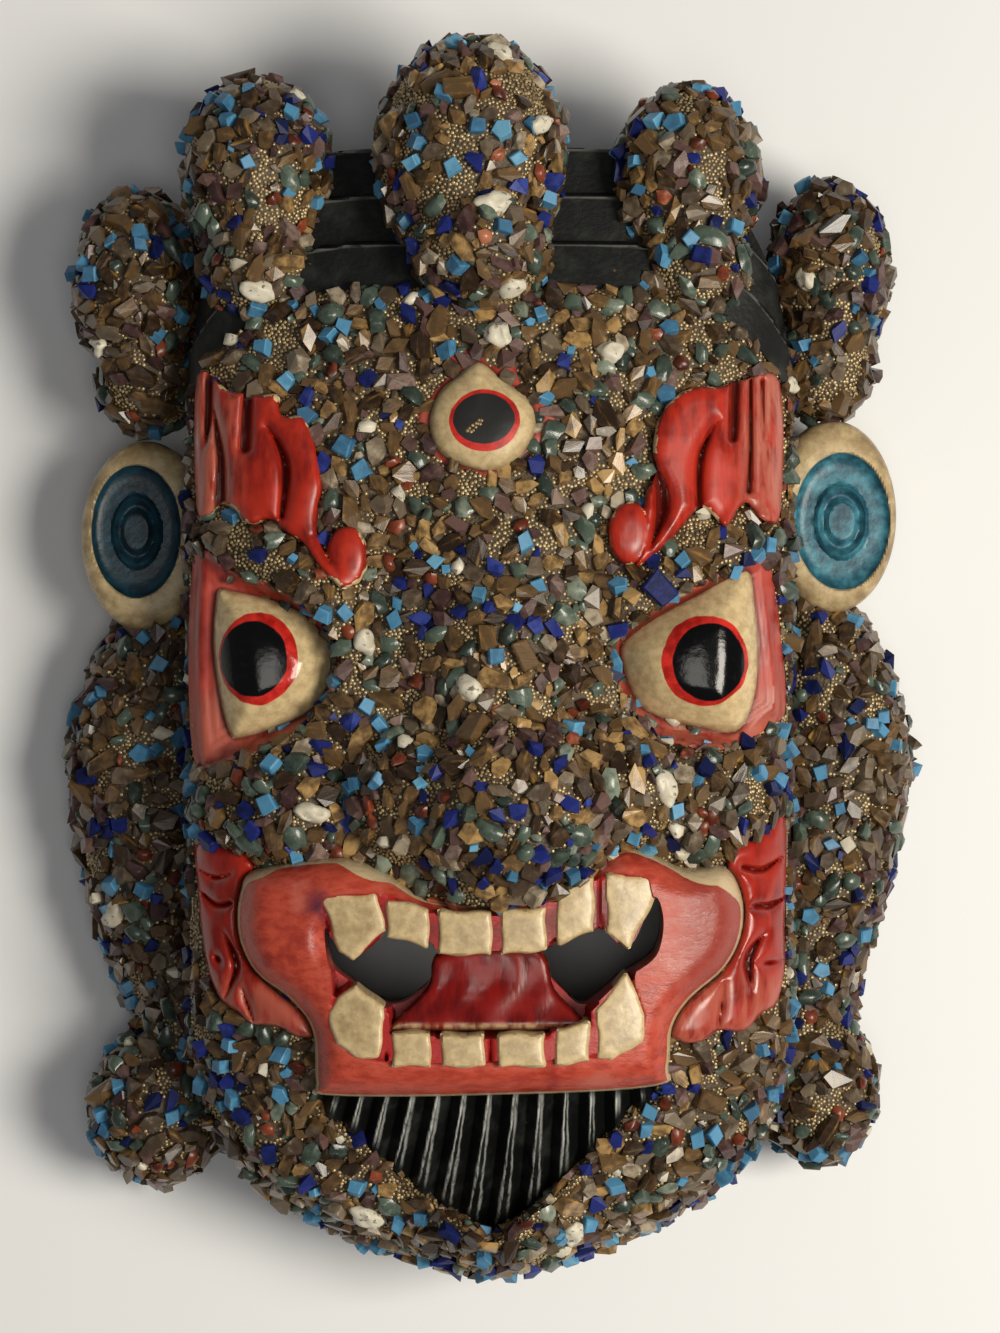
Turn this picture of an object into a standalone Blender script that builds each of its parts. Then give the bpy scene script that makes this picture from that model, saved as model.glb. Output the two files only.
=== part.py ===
"""A carved and stone-set wooden mask of a wrathful guardian, lying on its back.

The mask is carved from one block: a vaulted face with a hollow back, a stepped headband with five
skull-shaped knobs, round ear plugs, side locks that end in knobs, and an open mouth with two gaps
beside the tongue. Its biggest set stones are pieces of their own and lie on the crust.

Sizes are in millimetres, and MM turns them into Blender's metres. +X is to the right of the face
as it is looked at, +Y towards the crown, +Z out of the face. The back rim lies on Z = 0.
"""

import math
import random

import bmesh
import bpy
import numpy as np
from mathutils import Matrix, Vector
from mathutils.bvhtree import BVHTree

MM = 0.001

# Driving sizes
MASK_WIDTH = 255.0
MASK_HEIGHT = 361.6
MASK_DEPTH = 121.0
WALL = 13.0
RIM_WIDTH = 15.0
CRUST = 1.8
EDGE_THICKNESS = 4.0
STONE_THICKNESS = 4.2
STONE_GAP = 0.3
CARVING_STEP = 1.5
MASK_TRIANGLES = 8200
SMOOTH_BELOW = 35.0

# The carving below is laid out in millimetres and stretches to the width, height and depth above
FAR = 40.0
EDGE_REACH = 0.5
SNAP, SNAP_SHARE, FLATTEST = 0.05, 0.45, 0.2
CRUST_EDGE = 1.5

# Head: half width and middle height along Y, and the height of its side walls
HALF_WIDTH = [
    (-184, 0), (-183, 14), (-180, 27), (-176, 38), (-170, 50), (-158, 68), (-143, 80),
    (-125, 86), (-100, 88.5), (60, 88.5), (90, 86.5), (110, 82), (125, 75), (135, 67),
    (142, 57), (146, 45), (147, 28), (147.2, 0),
]
MIDDLE_HEIGHT = [
    (-184, 34), (-176, 50), (-165, 63), (-150, 74), (-128, 83), (-100, 87), (-40, 88),
    (20, 88), (60, 85), (90, 80), (103, 76), (117, 66), (134, 56), (147, 48),
]
SIDE_HEIGHT = [(-184, 26), (-150, 40), (-100, 50), (0, 52), (80, 50), (120, 46), (147, 42)]
VAULT_POWER = 2.9
HOLLOW_DEPTH, HOLLOW_ROUNDING = 74.0, 55.0

# Headband: lower edge, and its tiers, which are flatter than the vault
BAND_EDGE, BAND_SIDE_DROP, BAND_REACH = 103.0, 23.0, 83.0
TIER_HEIGHT, TIER_FLATNESS, BAND_RISE = 14.8, 0.7, 3.0

# Knobs: x, y, half width, half length, middle height and half depth of a brow, and of a jaw
CROWN_KNOBS = [
    [(-5.5, 141.0, 28.3, 36.6, 67, 30), (-2.5, 114, 22, 18, 76, 24)],
    [(-68.0, 138.0, 22.6, 30.0, 54, 25), (-66.5, 109, 18.5, 17, 58, 23)],
    [(57.5, 136.0, 22.0, 29.8, 54, 25), (59.5, 109, 18.5, 17, 58, 23)],
    [(-105.0, 108.0, 19.4, 29.5, 34, 21), (-101.5, 80, 16.0, 17, 33, 18)],
    [(100.5, 111.0, 19.0, 29.3, 34, 21), (98.5, 85, 16.5, 18, 33, 18)],
]
LOCK_KNOBS = [[(-99.0, -137.0, 21.8, 24.0, 25, 22)], [(98.0, -131.0, 18.5, 24.0, 25, 21)]]
KNOBS = [*CROWN_KNOBS, *LOCK_KNOBS]
KNOB_BLEND, KNOB_SEAT = 12.0, 2.0

# Ear plugs: x, y, half width and half height of each pale panel, then of its blue dish
EARS = [
    ((-102.5, 33.4, 19.4, 28.4), (-105.0, 34.8, 13.4, 19.8)),
    ((102.0, 39.4, 19.0, 28.6), (104.4, 37.8, 14.4, 20.4)),
]
EAR_HEIGHT, EAR_BACK, EAR_ROUNDING = 38.0, 12.0, 6.0
EAR_SEAT = 1.0
DISH_DEPTH, DISH_RIM, BOSS_RISE = 3.4, 0.25, 2.0
BOSS_START, BOSS_RIM, BOSS_GROOVE = 0.44, 0.12, 0.62

# Side locks: outlines, heights and roundings
LOCKS = [
    [(-84, 10), (-112, 8), (-123, -12), (-127.6, -34), (-124, -62), (-117.5, -88),
     (-108.5, -110), (-104, -128), (-84, -140), (-76, -120)],
    [(84, 14), (110, 12), (120.5, -5), (127.4, -30), (125, -50), (121, -70), (113.5, -93),
     (110.5, -108), (104, -125), (84, -138), (76, -120)],
]
LOCK_HEIGHT, LOCK_EDGE, LOCK_ROUNDING, LOCK_UNDERCUT = 40.0, 17.0, 20.0, 9.0

# Face in relief: x, y, half width, half length and top height, or rise, of each swelling
NOSE = [(-19.0, -43.0, 20, 20, 104), (33.0, -40.0, 19, 20, 104), (6.5, -46.0, 29, 27, 119)]
NOSE_BLEND = 9.0
BRIDGE_RISE = [(-60, 16), (-30, 15), (0, 10), (25, 6), (50, 2), (75, 0)]
BRIDGE_MIDDLE, BRIDGE_WIDTH = 2.5, 30.0
CHEEKS = [(-64.0, -45.5, 25, 17, 9), (64.0, -43.5, 25, 17, 9)]
BROW_BONES = [[(-84, 32), (-62, 25), (-44, 12)], [(84, 32), (62, 26), (42, 12)]]
BONE_WIDTH, BONE_RISE = 12.0, 5.0

# Eyes: lids, eyeballs and how deep they are cut
LIDS = [
    [(-86, 25), (-72, 21.5), (-58, 16.5), (-47, 8), (-42, -3.5), (-47, -17), (-60, -27),
     (-72, -31), (-86, -31.5)],
    [(80, 25), (71, 23.5), (58, 18), (47.6, 12), (38.6, 5.7), (33.5, 0), (37, -12),
     (46, -25.5), (58, -28.5), (69, -28.5), (80, -22.5), (85.5, -18), (84.5, 0)],
]
EYEBALLS = [
    [(-77, 16.5), (-61.7, 13.5), (-52.8, 9.2), (-43.6, -1.3), (-45, -10), (-50.2, -18),
     (-61.6, -22.8), (-72, -25.4), (-77, -16), (-79, 0)],
    [(37.4, 0), (44, 7.4), (58, 14.9), (73, 23), (76, 12), (77, -2), (75.5, -15.5),
     (70.2, -24), (58, -22.3), (47.5, -19.3), (40.5, -13.6)],
]
LID_DEPTH, LID_MARGIN, LID_SLOPE = 5.0, 1.0, 3.0
EYE_BULGE, EYE_ROUNDING, EYE_TURN = 8.5, 17.0, 0.22
THIRD_EYE = [
    (-1.6, 79), (-8, 74.5), (-16.5, 67), (-15, 56), (-8, 50.5), (0, 49.5), (8, 52.5),
    (13.5, 60), (13, 69), (5, 74.5),
]
THIRD_RISE, THIRD_ROUNDING = 6.0, 12.0

# Brows: flame outlines, the curls at their inner ends and the grooves between the flames
BROWS = [
    [(-85.5, 79), (-76, 74.5), (-67, 72), (-60, 72), (-57.5, 66.5), (-52.5, 65), (-49.5, 57),
     (-47, 48), (-48.5, 36), (-47, 27), (-42, 19.5), (-50, 27.5), (-58, 32.5), (-62, 36),
     (-69, 35), (-74.5, 40), (-78, 41), (-81.5, 38), (-85.5, 41)],
    [(84, 77), (72.3, 76.5), (66, 74.5), (58, 74.5), (52, 71), (48, 66), (45.5, 55),
     (44, 45), (48, 37), (46, 28), (41.5, 22.5), (47, 27.5), (53.5, 33), (60, 39.5),
     (67, 35), (73, 41), (78, 37), (84, 40)],
]
CURLS = [(-40.6, 25.8, 5.9, 8.8), (39.8, 32.6, 6.3, 9.0)]
BROW_GROOVES = [
    [(-81.4, 78), (-81.6, 60)], [(-79, 68), (-77, 58), (-76.4, 42)],
    [(-69, 73), (-69.4, 54)], [(-62.8, 62.5), (-58.4, 56), (-56.8, 49), (-58.8, 36)],
    [(63.7, 64), (60, 56.5), (58.4, 49.5), (59.2, 38)], [(69.2, 73), (69.2, 58)],
    [(72.9, 76), (73.6, 60), (73.1, 41)], [(78, 76), (78.6, 57)], [(48.5, 42), (45, 31)],
]
BROW_RISE, CURL_RISE, BROW_ROUNDING, GROOVE_WIDTH, GROOVE_DEPTH = 7.0, 7.7, 3.0, 2.8, 4.6

# Mouth: lips, the open mouth, the gaps beside the tongue, and the flames beside the lips
LIPS = [
    (-66.5, -63), (-71.5, -70), (-72, -82), (-67, -92.5), (-57, -100), (-50.5, -109),
    (-49.6, -124), (-46.8, -127.6), (0, -127.2), (47, -125), (51, -119), (52, -108),
    (57, -100), (67, -91.5), (72, -82), (72.2, -71), (67, -62.5), (55, -62.5), (46, -58.5),
    (38, -56.5), (30, -61), (22, -68), (0, -72), (-18, -70.5), (-30, -63.5), (-43, -59.5),
]
OPEN_MOUTH = [
    (-47.5, -69.5), (-30, -68), (-14, -73), (6, -73), (18, -68.5), (32, -62.5), (46, -63.5),
    (50, -77), (47.5, -87), (43.5, -97), (44.5, -106), (40, -112), (31, -116.5), (2, -118),
    (-28, -118), (-40, -113.5), (-46.5, -106), (-46, -97), (-48, -88),
]
MOUTH_GAPS = [
    [(-46.4, -79), (-45.5, -89), (-41, -94), (-28.5, -101.5), (-18.5, -96.5), (-14.2, -88.5),
     (-15, -84.5), (-28, -79), (-31, -82), (-38, -87.5), (-43.5, -83)],
    [(13.5, -86.5), (30, -79.5), (34, -81), (38.4, -85), (42, -80), (46.5, -70), (49, -77),
     (47, -86.5), (40, -91.8), (36.5, -94), (27, -101.5), (20.5, -97), (16, -92)],
]
LIP_RISE, LIP_ROUNDING = 13.5, 9.0
MOUTH_FLOOR, MOUTH_MARGIN, MOUTH_SLOPE = 84.0, 0.8, 2.5
TONGUE = [(-13.5, -86), (13, -85), (18.5, -97), (26, -105), (-26.5, -105.5), (-17.5, -96)]
TONGUE_HEIGHT, TONGUE_SPREAD = [(-106, 94), (-96, 91), (-84, 87)], 1.0
TEETH = [
    [(-46.9, -70.5), (-32, -69.2), (-29.8, -79.5), (-38.9, -87.2), (-42, -85.4)],
    [(-28.4, -71), (-17.5, -73.5), (-17.5, -83.6), (-28.4, -80.5)],
    [(-13.8, -74.2), (0.2, -74.6), (0.2, -85.6), (-13.8, -85.6)],
    [(3.8, -74.4), (15.4, -73), (15.4, -84.4), (3.8, -85.6)],
    [(19.2, -69.5), (28.9, -64.8), (28.9, -79.2), (19.2, -82.8)],
    [(33, -64), (45.4, -64.6), (47, -69), (38.8, -84), (33.6, -80)],
    [(-37.8, -96), (-29.9, -100), (-30.5, -108.4), (-32.1, -115.6), (-42.5, -112), (-45.4, -105)],
    [(-26.8, -107.2), (-17, -107.4), (-17, -117), (-26.8, -117)],
    [(-13, -108.5), (-1.8, -108.7), (-2, -117), (-13, -117)],
    [(2.8, -108.2), (15, -107.8), (15, -117), (2.8, -117)],
    [(19, -106.2), (27.6, -104.2), (27.6, -115.8), (19, -116.6)],
    [(38.7, -92), (43.8, -103.5), (42.5, -110.3), (34.6, -115.6), (31, -114.5), (30.4, -101.6)],
]
TOOTH_HEIGHT, TOOTH_ROUNDING, TOOTH_EDGE, TOOTH_ARCH = 103.5, 2.2, 3.0, 0.0022
SIDE_FLAMES = [
    [(-84.5, -56), (-70, -62), (-74, -72), (-74.5, -84), (-69, -95), (-58, -103),
     (-53, -110), (-66, -107.5), (-79, -100.5), (-84.5, -90)],
    [(85, -49), (70, -60), (74.5, -72), (74.5, -84), (69, -95), (58, -103), (54, -112),
     (66, -108.5), (80, -103.5), (85.5, -91)],
]
FLAME_RISE, FLAME_WAVE, FLAME_PITCH, FLAME_LEAN = 4.0, 1.3, 13.0, 0.35

# Beard: a grooved wedge under the lips, and the roll of the chin beside it
BEARD = [
    (-46, -126), (46, -125), (38, -134.5), (26, -148.5), (13.5, -161), (2, -169.5),
    (-1, -169.5), (-14, -161.5), (-27, -150.5), (-36, -142),
]
BEARD_TOP, BEARD_DEPTH, BEARD_PITCH, BEARD_RIDGE, BEARD_SLANT = -128.0, 4.5, 7.6, 4.0, 0.10
CHIN_ROLL_WIDTH, CHIN_ROLL_RISE, CHIN_ROLL_TOP, CHIN_ROLL_FADE = 12.0, 4.0, -128.0, 12.0

# Biggest stones: kind, x, y, length, width and turn in degrees
BIG_STONES = [
    ("howlite", 1.9, 127, 11.5, 7.5, 60), ("howlite", -66.5, 101, 10.5, 7.0, -10),
    ("howlite", 2.8, 171, 9.5, 6.0, -20), ("howlite", 15.5, 149, 10.0, 5.0, 100),
    ("howlite", 7.2, 101.5, 8.0, 6.0, -15), ("howlite", 2.2, 89.5, 9.0, 6.5, -35),
    ("howlite", 34.5, 84.5, 7.0, 6.0, 30), ("howlite", -5.6, -11.5, 9.5, 6.5, 65),
    ("howlite", -50.5, -46.5, 10.5, 5.5, 85), ("howlite", -35.5, 1.6, 8.0, 6.0, 15),
    ("howlite", 49.5, -39.5, 11.0, 6.0, 5), ("howlite", -113.0, -79.5, 8.5, 7.0, -40),
    ("howlite", -35.5, -164.0, 10.0, 7.0, -35), ("howlite", 23.8, -168.0, 9.0, 6.0, 60),
    ("howlite", -116.0, 88, 7.0, 5.5, 80), ("howlite", 91.5, 108, 8.0, 5.5, 20),
    ("howlite", 88.0, 77, 7.5, 5.5, 70), ("tiger_eye", 44.5, 120, 13.0, 8.0, 95),
    ("tiger_eye", -9.0, 159, 11.0, 7.0, -10), ("tiger_eye", 9.3, -2.0, 9.5, 6.0, 0),
    ("tiger_eye", 63.0, -130.0, 12.0, 8.0, 100), ("tiger_eye", -4.0, -22.5, 10.5, 7.0, 25),
    ("lapis", 47.5, 16.5, 10.5, 8.5, 30), ("lapis", 60.5, 113, 7.5, 6.5, 0),
    ("lapis", -79.5, -57.0, 7.0, 5.5, 60), ("turquoise", -41.5, 57.5, 7.0, 6.5, 15),
    ("turquoise", -36.5, 50.5, 6.5, 6.5, 70), ("turquoise", -62.0, -33.5, 6.0, 5.5, 30),
    ("turquoise", 2.0, -2.5, 6.5, 5.5, 0), ("turquoise", -63.0, -44.0, 6.5, 6.0, 35),
    ("aventurine", -45.5, 96, 9.5, 7.5, -20), ("aventurine", 10.0, -56.5, 7.5, 6.0, 10),
    ("carnelian", -28.0, 24.5, 6.0, 5.0, 40),
]
STONE_NAMES = {
    "howlite": "howlite_nugget", "tiger_eye": "tiger_eye_chip", "lapis": "lapis_chip",
    "turquoise": "turquoise_chip", "aventurine": "aventurine_chip", "carnelian": "carnelian_chip",
}
CUT_STONES = ("tiger_eye", "lapis", "turquoise")
STONE_ROUGHENING, STONE_SEED, SLOPE_REACH = 0.13, 7, 3.0

COLOURS = {
    "wood": (0.20, 0.13, 0.08), "howlite": (0.86, 0.84, 0.76), "tiger_eye": (0.30, 0.17, 0.07),
    "lapis": (0.06, 0.07, 0.36), "turquoise": (0.12, 0.40, 0.66), "aventurine": (0.16, 0.28, 0.21),
    "carnelian": (0.48, 0.13, 0.05),
}
WOOD_ROUGHNESS, STONE_ROUGHNESS = 0.6, 0.3


# Curves and distances

def curve_through(points, closed=True, per_span=5):
    """Points along a smooth curve through the given ones."""
    ends = np.array(points, float)
    count = len(ends)
    shares = np.linspace(0, 1, per_span, endpoint=False)[:, None]
    runs = []
    for i in range(count if closed else count - 1):
        places = [i - 1, i, i + 1, i + 2]
        places = [p % count if closed else min(max(p, 0), count - 1) for p in places]
        before, a, b, after = ends[places]
        runs.append(
            0.5 * (2 * a + (b - before) * shares
                   + (2 * before - 5 * a + 4 * b - after) * shares ** 2
                   + (3 * a - before - 3 * b + after) * shares ** 3)
        )
    return np.concatenate(runs if closed else [*runs, ends[-1:]])


def along(table, y):
    """A size that varies smoothly along Y, read off a table of (y, size)."""
    line = curve_through(table, closed=False)
    return np.interp(y, line[:, 0], line[:, 1])


def distance_to_line(x, y, line, closed=False):
    """Distance from each point to a run of straight pieces."""
    nearest = np.full(np.shape(x), FAR)
    ends = np.roll(line, -1, axis=0) if closed else line[1:]
    for (ax, ay), (bx, by) in zip(line, ends):
        ux, uy = bx - ax, by - ay
        share = ((x - ax) * ux + (y - ay) * uy) / max(ux * ux + uy * uy, 1e-12)
        share = np.clip(share, 0, 1)
        nearest = np.minimum(nearest, np.hypot(x - ax - share * ux, y - ay - share * uy))
    return nearest


def near(x, y, line):
    """The points that lie no further than FAR from a line's box."""
    low, high = line.min(axis=0) - FAR, line.max(axis=0) + FAR
    return (x > low[0]) & (x < high[0]) & (y > low[1]) & (y < high[1])


def depth_inside(x, y, points, smooth=True):
    """Distance in from a closed outline, negative outside it and no less than -FAR."""
    line = curve_through(points) if smooth else np.array(points, float)
    depth = np.full(np.shape(x), -FAR)
    close = near(x, y, line)
    px, py = x[close], y[close]
    inside = np.zeros(px.shape, bool)
    for (ax, ay), (bx, by) in zip(line, np.roll(line, -1, axis=0)):
        if ay != by:
            crosses = (ay > py) != (by > py)
            inside ^= crosses & (px < ax + (bx - ax) * (py - ay) / (by - ay))
    depth[close] = np.where(inside, 1, -1) * distance_to_line(px, py, line, closed=True)
    return depth


def depth_inside_oval(x, y, cx, cy, half_width, half_height):
    share = np.hypot((x - cx) / half_width, (y - cy) / half_height)
    return (1 - share) * min(half_width, half_height)


def distance_to_curve(x, y, points):
    return distance_to_line(x, y, curve_through(points, closed=False))


# Blends and profiles

def smooth_max(a, b, blend):
    """The higher of two surfaces, with a fillet where they cross."""
    share = np.clip(0.5 + 0.5 * (a - b) / blend, 0, 1)
    return b + (a - b) * share + blend * share * (1 - share)


def rounded(depth, radius):
    """0 at an edge, rising as a quarter round to 1 at the radius."""
    share = np.clip(depth / radius, 0, 1)
    return np.sqrt(share * (2 - share))


def soft_step(depth, width):
    """0 to 1 over a width that is centred on an edge."""
    share = np.clip(depth / width + 0.5, 0, 1)
    return share * share * (3 - 2 * share)


def hump(distance, half_width):
    """1 on a line, falling smoothly to 0 at the half width."""
    share = np.clip(distance / half_width, 0, 1)
    return (1 - share * share) ** 2


def dome(x, y, cx, cy, half_width, half_length):
    """1 over the middle of an oval, falling as a ball does to 0 at its edge; and where it is."""
    share = ((x - cx) / half_width) ** 2 + ((y - cy) / half_length) ** 2
    return np.sqrt(np.clip(1 - share, 0, 1)), share < 1 + EDGE_REACH / half_width


# The front of the carving

def half_width_at(y):
    return along(HALF_WIDTH, y)


def head_outline():
    line = curve_through(HALF_WIDTH, closed=False)
    right = np.column_stack([line[:, 1], line[:, 0]])
    left = np.column_stack([-line[::-1, 1], line[::-1, 0]])[1:-1]
    return np.concatenate([right, left])


def head_depth(x, y):
    """Distance in from the plain head's outline."""
    return depth_inside(x, y, head_outline(), smooth=False)


def vault(x, y):
    """The plain face: a cross vault between the two side walls."""
    share = np.clip(np.abs(x) / np.maximum(half_width_at(y), 1), 0, 1)
    side = along(SIDE_HEIGHT, y)
    return side + (along(MIDDLE_HEIGHT, y) - side) * np.sqrt(1 - share ** VAULT_POWER)


def band_place(x, y):
    """Distance up from the lower edge of the headband, which drops at the temples."""
    return y - BAND_EDGE + BAND_SIDE_DROP * np.clip(np.abs(x) / BAND_REACH, 0, 1.05) ** 5


def headband(x, y, z):
    place = band_place(x, y)
    tier_middle = (np.floor(place / TIER_HEIGHT) + 0.5) * TIER_HEIGHT
    tier = vault(x, y + (tier_middle - place) * TIER_FLATNESS) + BAND_RISE
    return np.where(place > 0, tier, z)


def nose_and_cheeks(x, y, z):
    z = z + along(BRIDGE_RISE, y) * hump(np.abs(x - BRIDGE_MIDDLE), BRIDGE_WIDTH)
    for cx, cy, half_width, half_length, rise in CHEEKS:
        share, _ = dome(x, y, cx, cy, half_width, half_length)
        z = z + rise * share ** 1.5
    for line in BROW_BONES:
        z = z + BONE_RISE * hump(distance_to_curve(x, y, line), BONE_WIDTH)
    for cx, cy, half_width, half_length, top in NOSE:
        share, inside = dome(x, y, cx, cy, half_width, half_length)
        ball = top - half_width + half_width * share
        z = np.where(inside, smooth_max(z, ball, NOSE_BLEND), z)
    return z


def brows(x, y, z):
    inside = np.max([depth_inside(x, y, outline) for outline in BROWS], axis=0)
    curl = np.max([depth_inside_oval(x, y, *oval) for oval in CURLS], axis=0)
    flame = rounded(inside, BROW_ROUNDING)
    groove = np.zeros(np.shape(x))
    for line in BROW_GROOVES:
        groove = np.maximum(groove, hump(distance_to_curve(x, y, line), GROOVE_WIDTH))
    rise = (BROW_RISE - GROOVE_DEPTH * groove) * flame
    return z + np.maximum(rise, CURL_RISE * rounded(curl, BROW_ROUNDING))


def eyes(x, y, z):
    for lid, ball in zip(LIDS, EYEBALLS):
        middle, _ = np.mean(ball, axis=0)
        socket = vault(np.full(np.shape(x), middle), y) - EYE_TURN * np.abs(x - middle) - LID_DEPTH
        cut = soft_step(depth_inside(x, y, lid) - LID_MARGIN, LID_SLOPE)
        z = z + (np.minimum(socket, z) - z) * cut
        inside = depth_inside(x, y, ball)
        z = np.where(inside > 0, socket + EYE_BULGE * rounded(inside, EYE_ROUNDING), z)
    return z + THIRD_RISE * rounded(depth_inside(x, y, THIRD_EYE), THIRD_ROUNDING)


def side_flames(x, y, z):
    inside = np.max([depth_inside(x, y, outline) for outline in SIDE_FLAMES], axis=0)
    wave = np.sin(2 * math.pi * (y + FLAME_LEAN * np.abs(x)) / FLAME_PITCH)
    return z + (FLAME_RISE + FLAME_WAVE * wave) * rounded(inside, FLAME_RISE)


def mouth(x, y, z):
    lips = rounded(depth_inside(x, y, LIPS), LIP_ROUNDING)
    z = z + (np.maximum(vault(x, y) + LIP_RISE, z) - z) * lips
    opening = soft_step(depth_inside(x, y, OPEN_MOUTH) - MOUTH_MARGIN, MOUTH_SLOPE)
    z = z + (MOUTH_FLOOR - z) * opening
    inside = depth_inside(x, y, TONGUE)
    z = np.where(inside > -TONGUE_SPREAD, np.maximum(z, along(TONGUE_HEIGHT, y)), z)
    for outline in TEETH:
        inside = depth_inside(x, y, outline, smooth=False)
        top = TOOTH_HEIGHT - TOOTH_ARCH * x ** 2 - TOOTH_EDGE * (1 - rounded(inside, TOOTH_ROUNDING))
        z = np.where(inside > 0, np.maximum(z, top), z)
    return z


def beard_and_chin(x, y, z):
    low = np.clip((CHIN_ROLL_TOP - y) / CHIN_ROLL_FADE, 0, 1)
    roll = CHIN_ROLL_RISE * low * hump(np.abs(head_depth(x, y) - CHIN_ROLL_WIDTH), CHIN_ROLL_WIDTH)
    place = (x - BEARD_SLANT * (y - BEARD_TOP)) / BEARD_PITCH
    ridge = BEARD_RIDGE * (1 - np.abs(2 * (place - np.floor(place)) - 1))
    grooved = vault(x, y) - BEARD_DEPTH + ridge
    return np.where(depth_inside(x, y, BEARD) > 0, grooved, z + roll)


def ears(x, y, z):
    for panel, dish in EARS:
        inside = depth_inside_oval(x, y, *panel)
        height = EAR_HEIGHT - EAR_ROUNDING * (1 - rounded(inside, EAR_ROUNDING))
        cut = depth_inside_oval(x, y, *dish) / min(dish[2:])
        boss = rounded(cut - BOSS_START, BOSS_RIM) - hump(np.abs(cut - BOSS_GROOVE), BOSS_RIM)
        height = height - DISH_DEPTH * rounded(cut, DISH_RIM) + BOSS_RISE * boss
        z = np.where(inside > -EDGE_REACH, smooth_max(z, height, EAR_SEAT), z)
    return z


def painted_depth(x, y):
    """Distance into the painted carving, which has no crust; negative on the crust."""
    outlines = [*LIDS, *BROWS, *SIDE_FLAMES, THIRD_EYE, LIPS, BEARD]
    depths = [depth_inside(x, y, outline) for outline in outlines]
    depths += [depth_inside_oval(x, y, *oval) for oval in CURLS]
    depths += [depth_inside_oval(x, y, *panel) for panel, _ in EARS]
    depths.append(np.where(head_depth(x, y) > 0, band_place(x, y), -FAR))
    knobs = [depth_inside_oval(x, y, *form[:4]) for knob in CROWN_KNOBS for form in knob]
    return np.minimum(np.max(depths, axis=0), -np.max(knobs, axis=0))


def laid_out_height(x, y):
    """The front of the carving as it is laid out, without its crust."""
    z = vault(x, y)
    for carve in (headband, nose_and_cheeks, brows, eyes, side_flames, mouth, beard_and_chin):
        z = carve(x, y, z)
    z = np.where(head_depth(x, y) > -SNAP, z, 0)
    for outline in LOCKS:
        inside = depth_inside(x, y, outline)
        lock = LOCK_EDGE + (LOCK_HEIGHT - LOCK_EDGE) * rounded(inside, LOCK_ROUNDING)
        z = np.where(inside > -EDGE_REACH, np.maximum(z, lock), z)
    z = ears(x, y, z)
    for knob in KNOBS:
        top = np.full(np.shape(x), -FAR)
        for cx, cy, half_width, half_length, middle, half_depth in knob:
            share, inside = dome(x, y, cx, cy, half_width, half_length)
            top = smooth_max(top, np.where(inside, middle + half_depth * share, -FAR), KNOB_BLEND)
        z = smooth_max(z, top, KNOB_SEAT)
    return z


def front_height(x, y):
    """The front of the mask over each point of its plan."""
    crust = CRUST * soft_step(-painted_depth(x, y), CRUST_EDGE)
    return np.maximum(laid_out_height(x, y) * DEEPER, EDGE_THICKNESS) + crust


# The back of the carving

def back_height(x, y, front):
    """A flat rim round the hollow, and rounded undersides beyond the head."""
    head = head_depth(x, y)
    outer = np.full(np.shape(x), FAR * 2)
    forms = [form for knob in KNOBS for form in knob]
    for cx, cy, half_width, half_length, middle, half_depth in forms:
        share, inside = dome(x, y, cx, cy, half_width, half_length)
        outer = np.where(inside, np.minimum(outer, middle - half_depth * share), outer)
    for outline in LOCKS:
        inside = depth_inside(x, y, outline)
        under = LOCK_UNDERCUT * (1 - rounded(inside, LOCK_UNDERCUT))
        outer = np.where(inside > -EDGE_REACH, np.minimum(outer, under), outer)
    for panel, _ in EARS:
        inside = depth_inside_oval(x, y, *panel)
        under = EAR_BACK + EAR_ROUNDING * (1 - rounded(inside, EAR_ROUNDING))
        outer = np.where(inside > -EDGE_REACH, np.minimum(outer, under), outer)
    hollow = HOLLOW_DEPTH * DEEPER * rounded(head - RIM_WIDTH / WIDER, HOLLOW_ROUNDING)
    hollow = np.maximum(np.minimum(hollow, front - WALL), 0)
    outer = np.clip(outer * DEEPER, 0, front - EDGE_THICKNESS)
    return np.where(head > -SNAP, hollow, outer)


# The solid

def plan_depth(x, y):
    """Distance in from the mask's outline and from its mouth gaps."""
    depths = [head_depth(x, y)]
    depths += [depth_inside(x, y, outline) for outline in LOCKS]
    depths += [depth_inside_oval(x, y, *panel) for panel, _ in EARS]
    depths += [depth_inside_oval(x, y, *form[:4]) for knob in KNOBS for form in knob]
    gaps = [depth_inside(x, y, outline) for outline in MOUTH_GAPS]
    return np.minimum(np.max(depths, axis=0), -np.max(gaps, axis=0))


def snapped(x, y, depth_of, reach):
    """Points within reach of a line where a depth is nought, moved onto it."""
    for _ in range(3):
        depth = depth_of(x, y)
        slope_x = (depth_of(x + SNAP, y) - depth_of(x - SNAP, y)) / (2 * SNAP)
        slope_y = (depth_of(x, y + SNAP) - depth_of(x, y - SNAP)) / (2 * SNAP)
        steepness = np.maximum(slope_x ** 2 + slope_y ** 2, FLATTEST)
        pull = np.where(np.abs(depth) < reach, depth, 0) / steepness
        x, y = x - pull * slope_x, y - pull * slope_y
    return x, y


def laid_out_corners():
    """Lowest and highest X and Y of the laid-out carving."""
    lines = [head_outline(), *[curve_through(outline) for outline in LOCKS]]
    ovals = [*[panel for panel, _ in EARS], *[form for knob in KNOBS for form in knob]]
    lines += [[(cx - rx, cy - ry), (cx + rx, cy + ry)] for cx, cy, rx, ry, *_ in ovals]
    points = np.concatenate(lines)
    return points.min(axis=0), points.max(axis=0)


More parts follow.
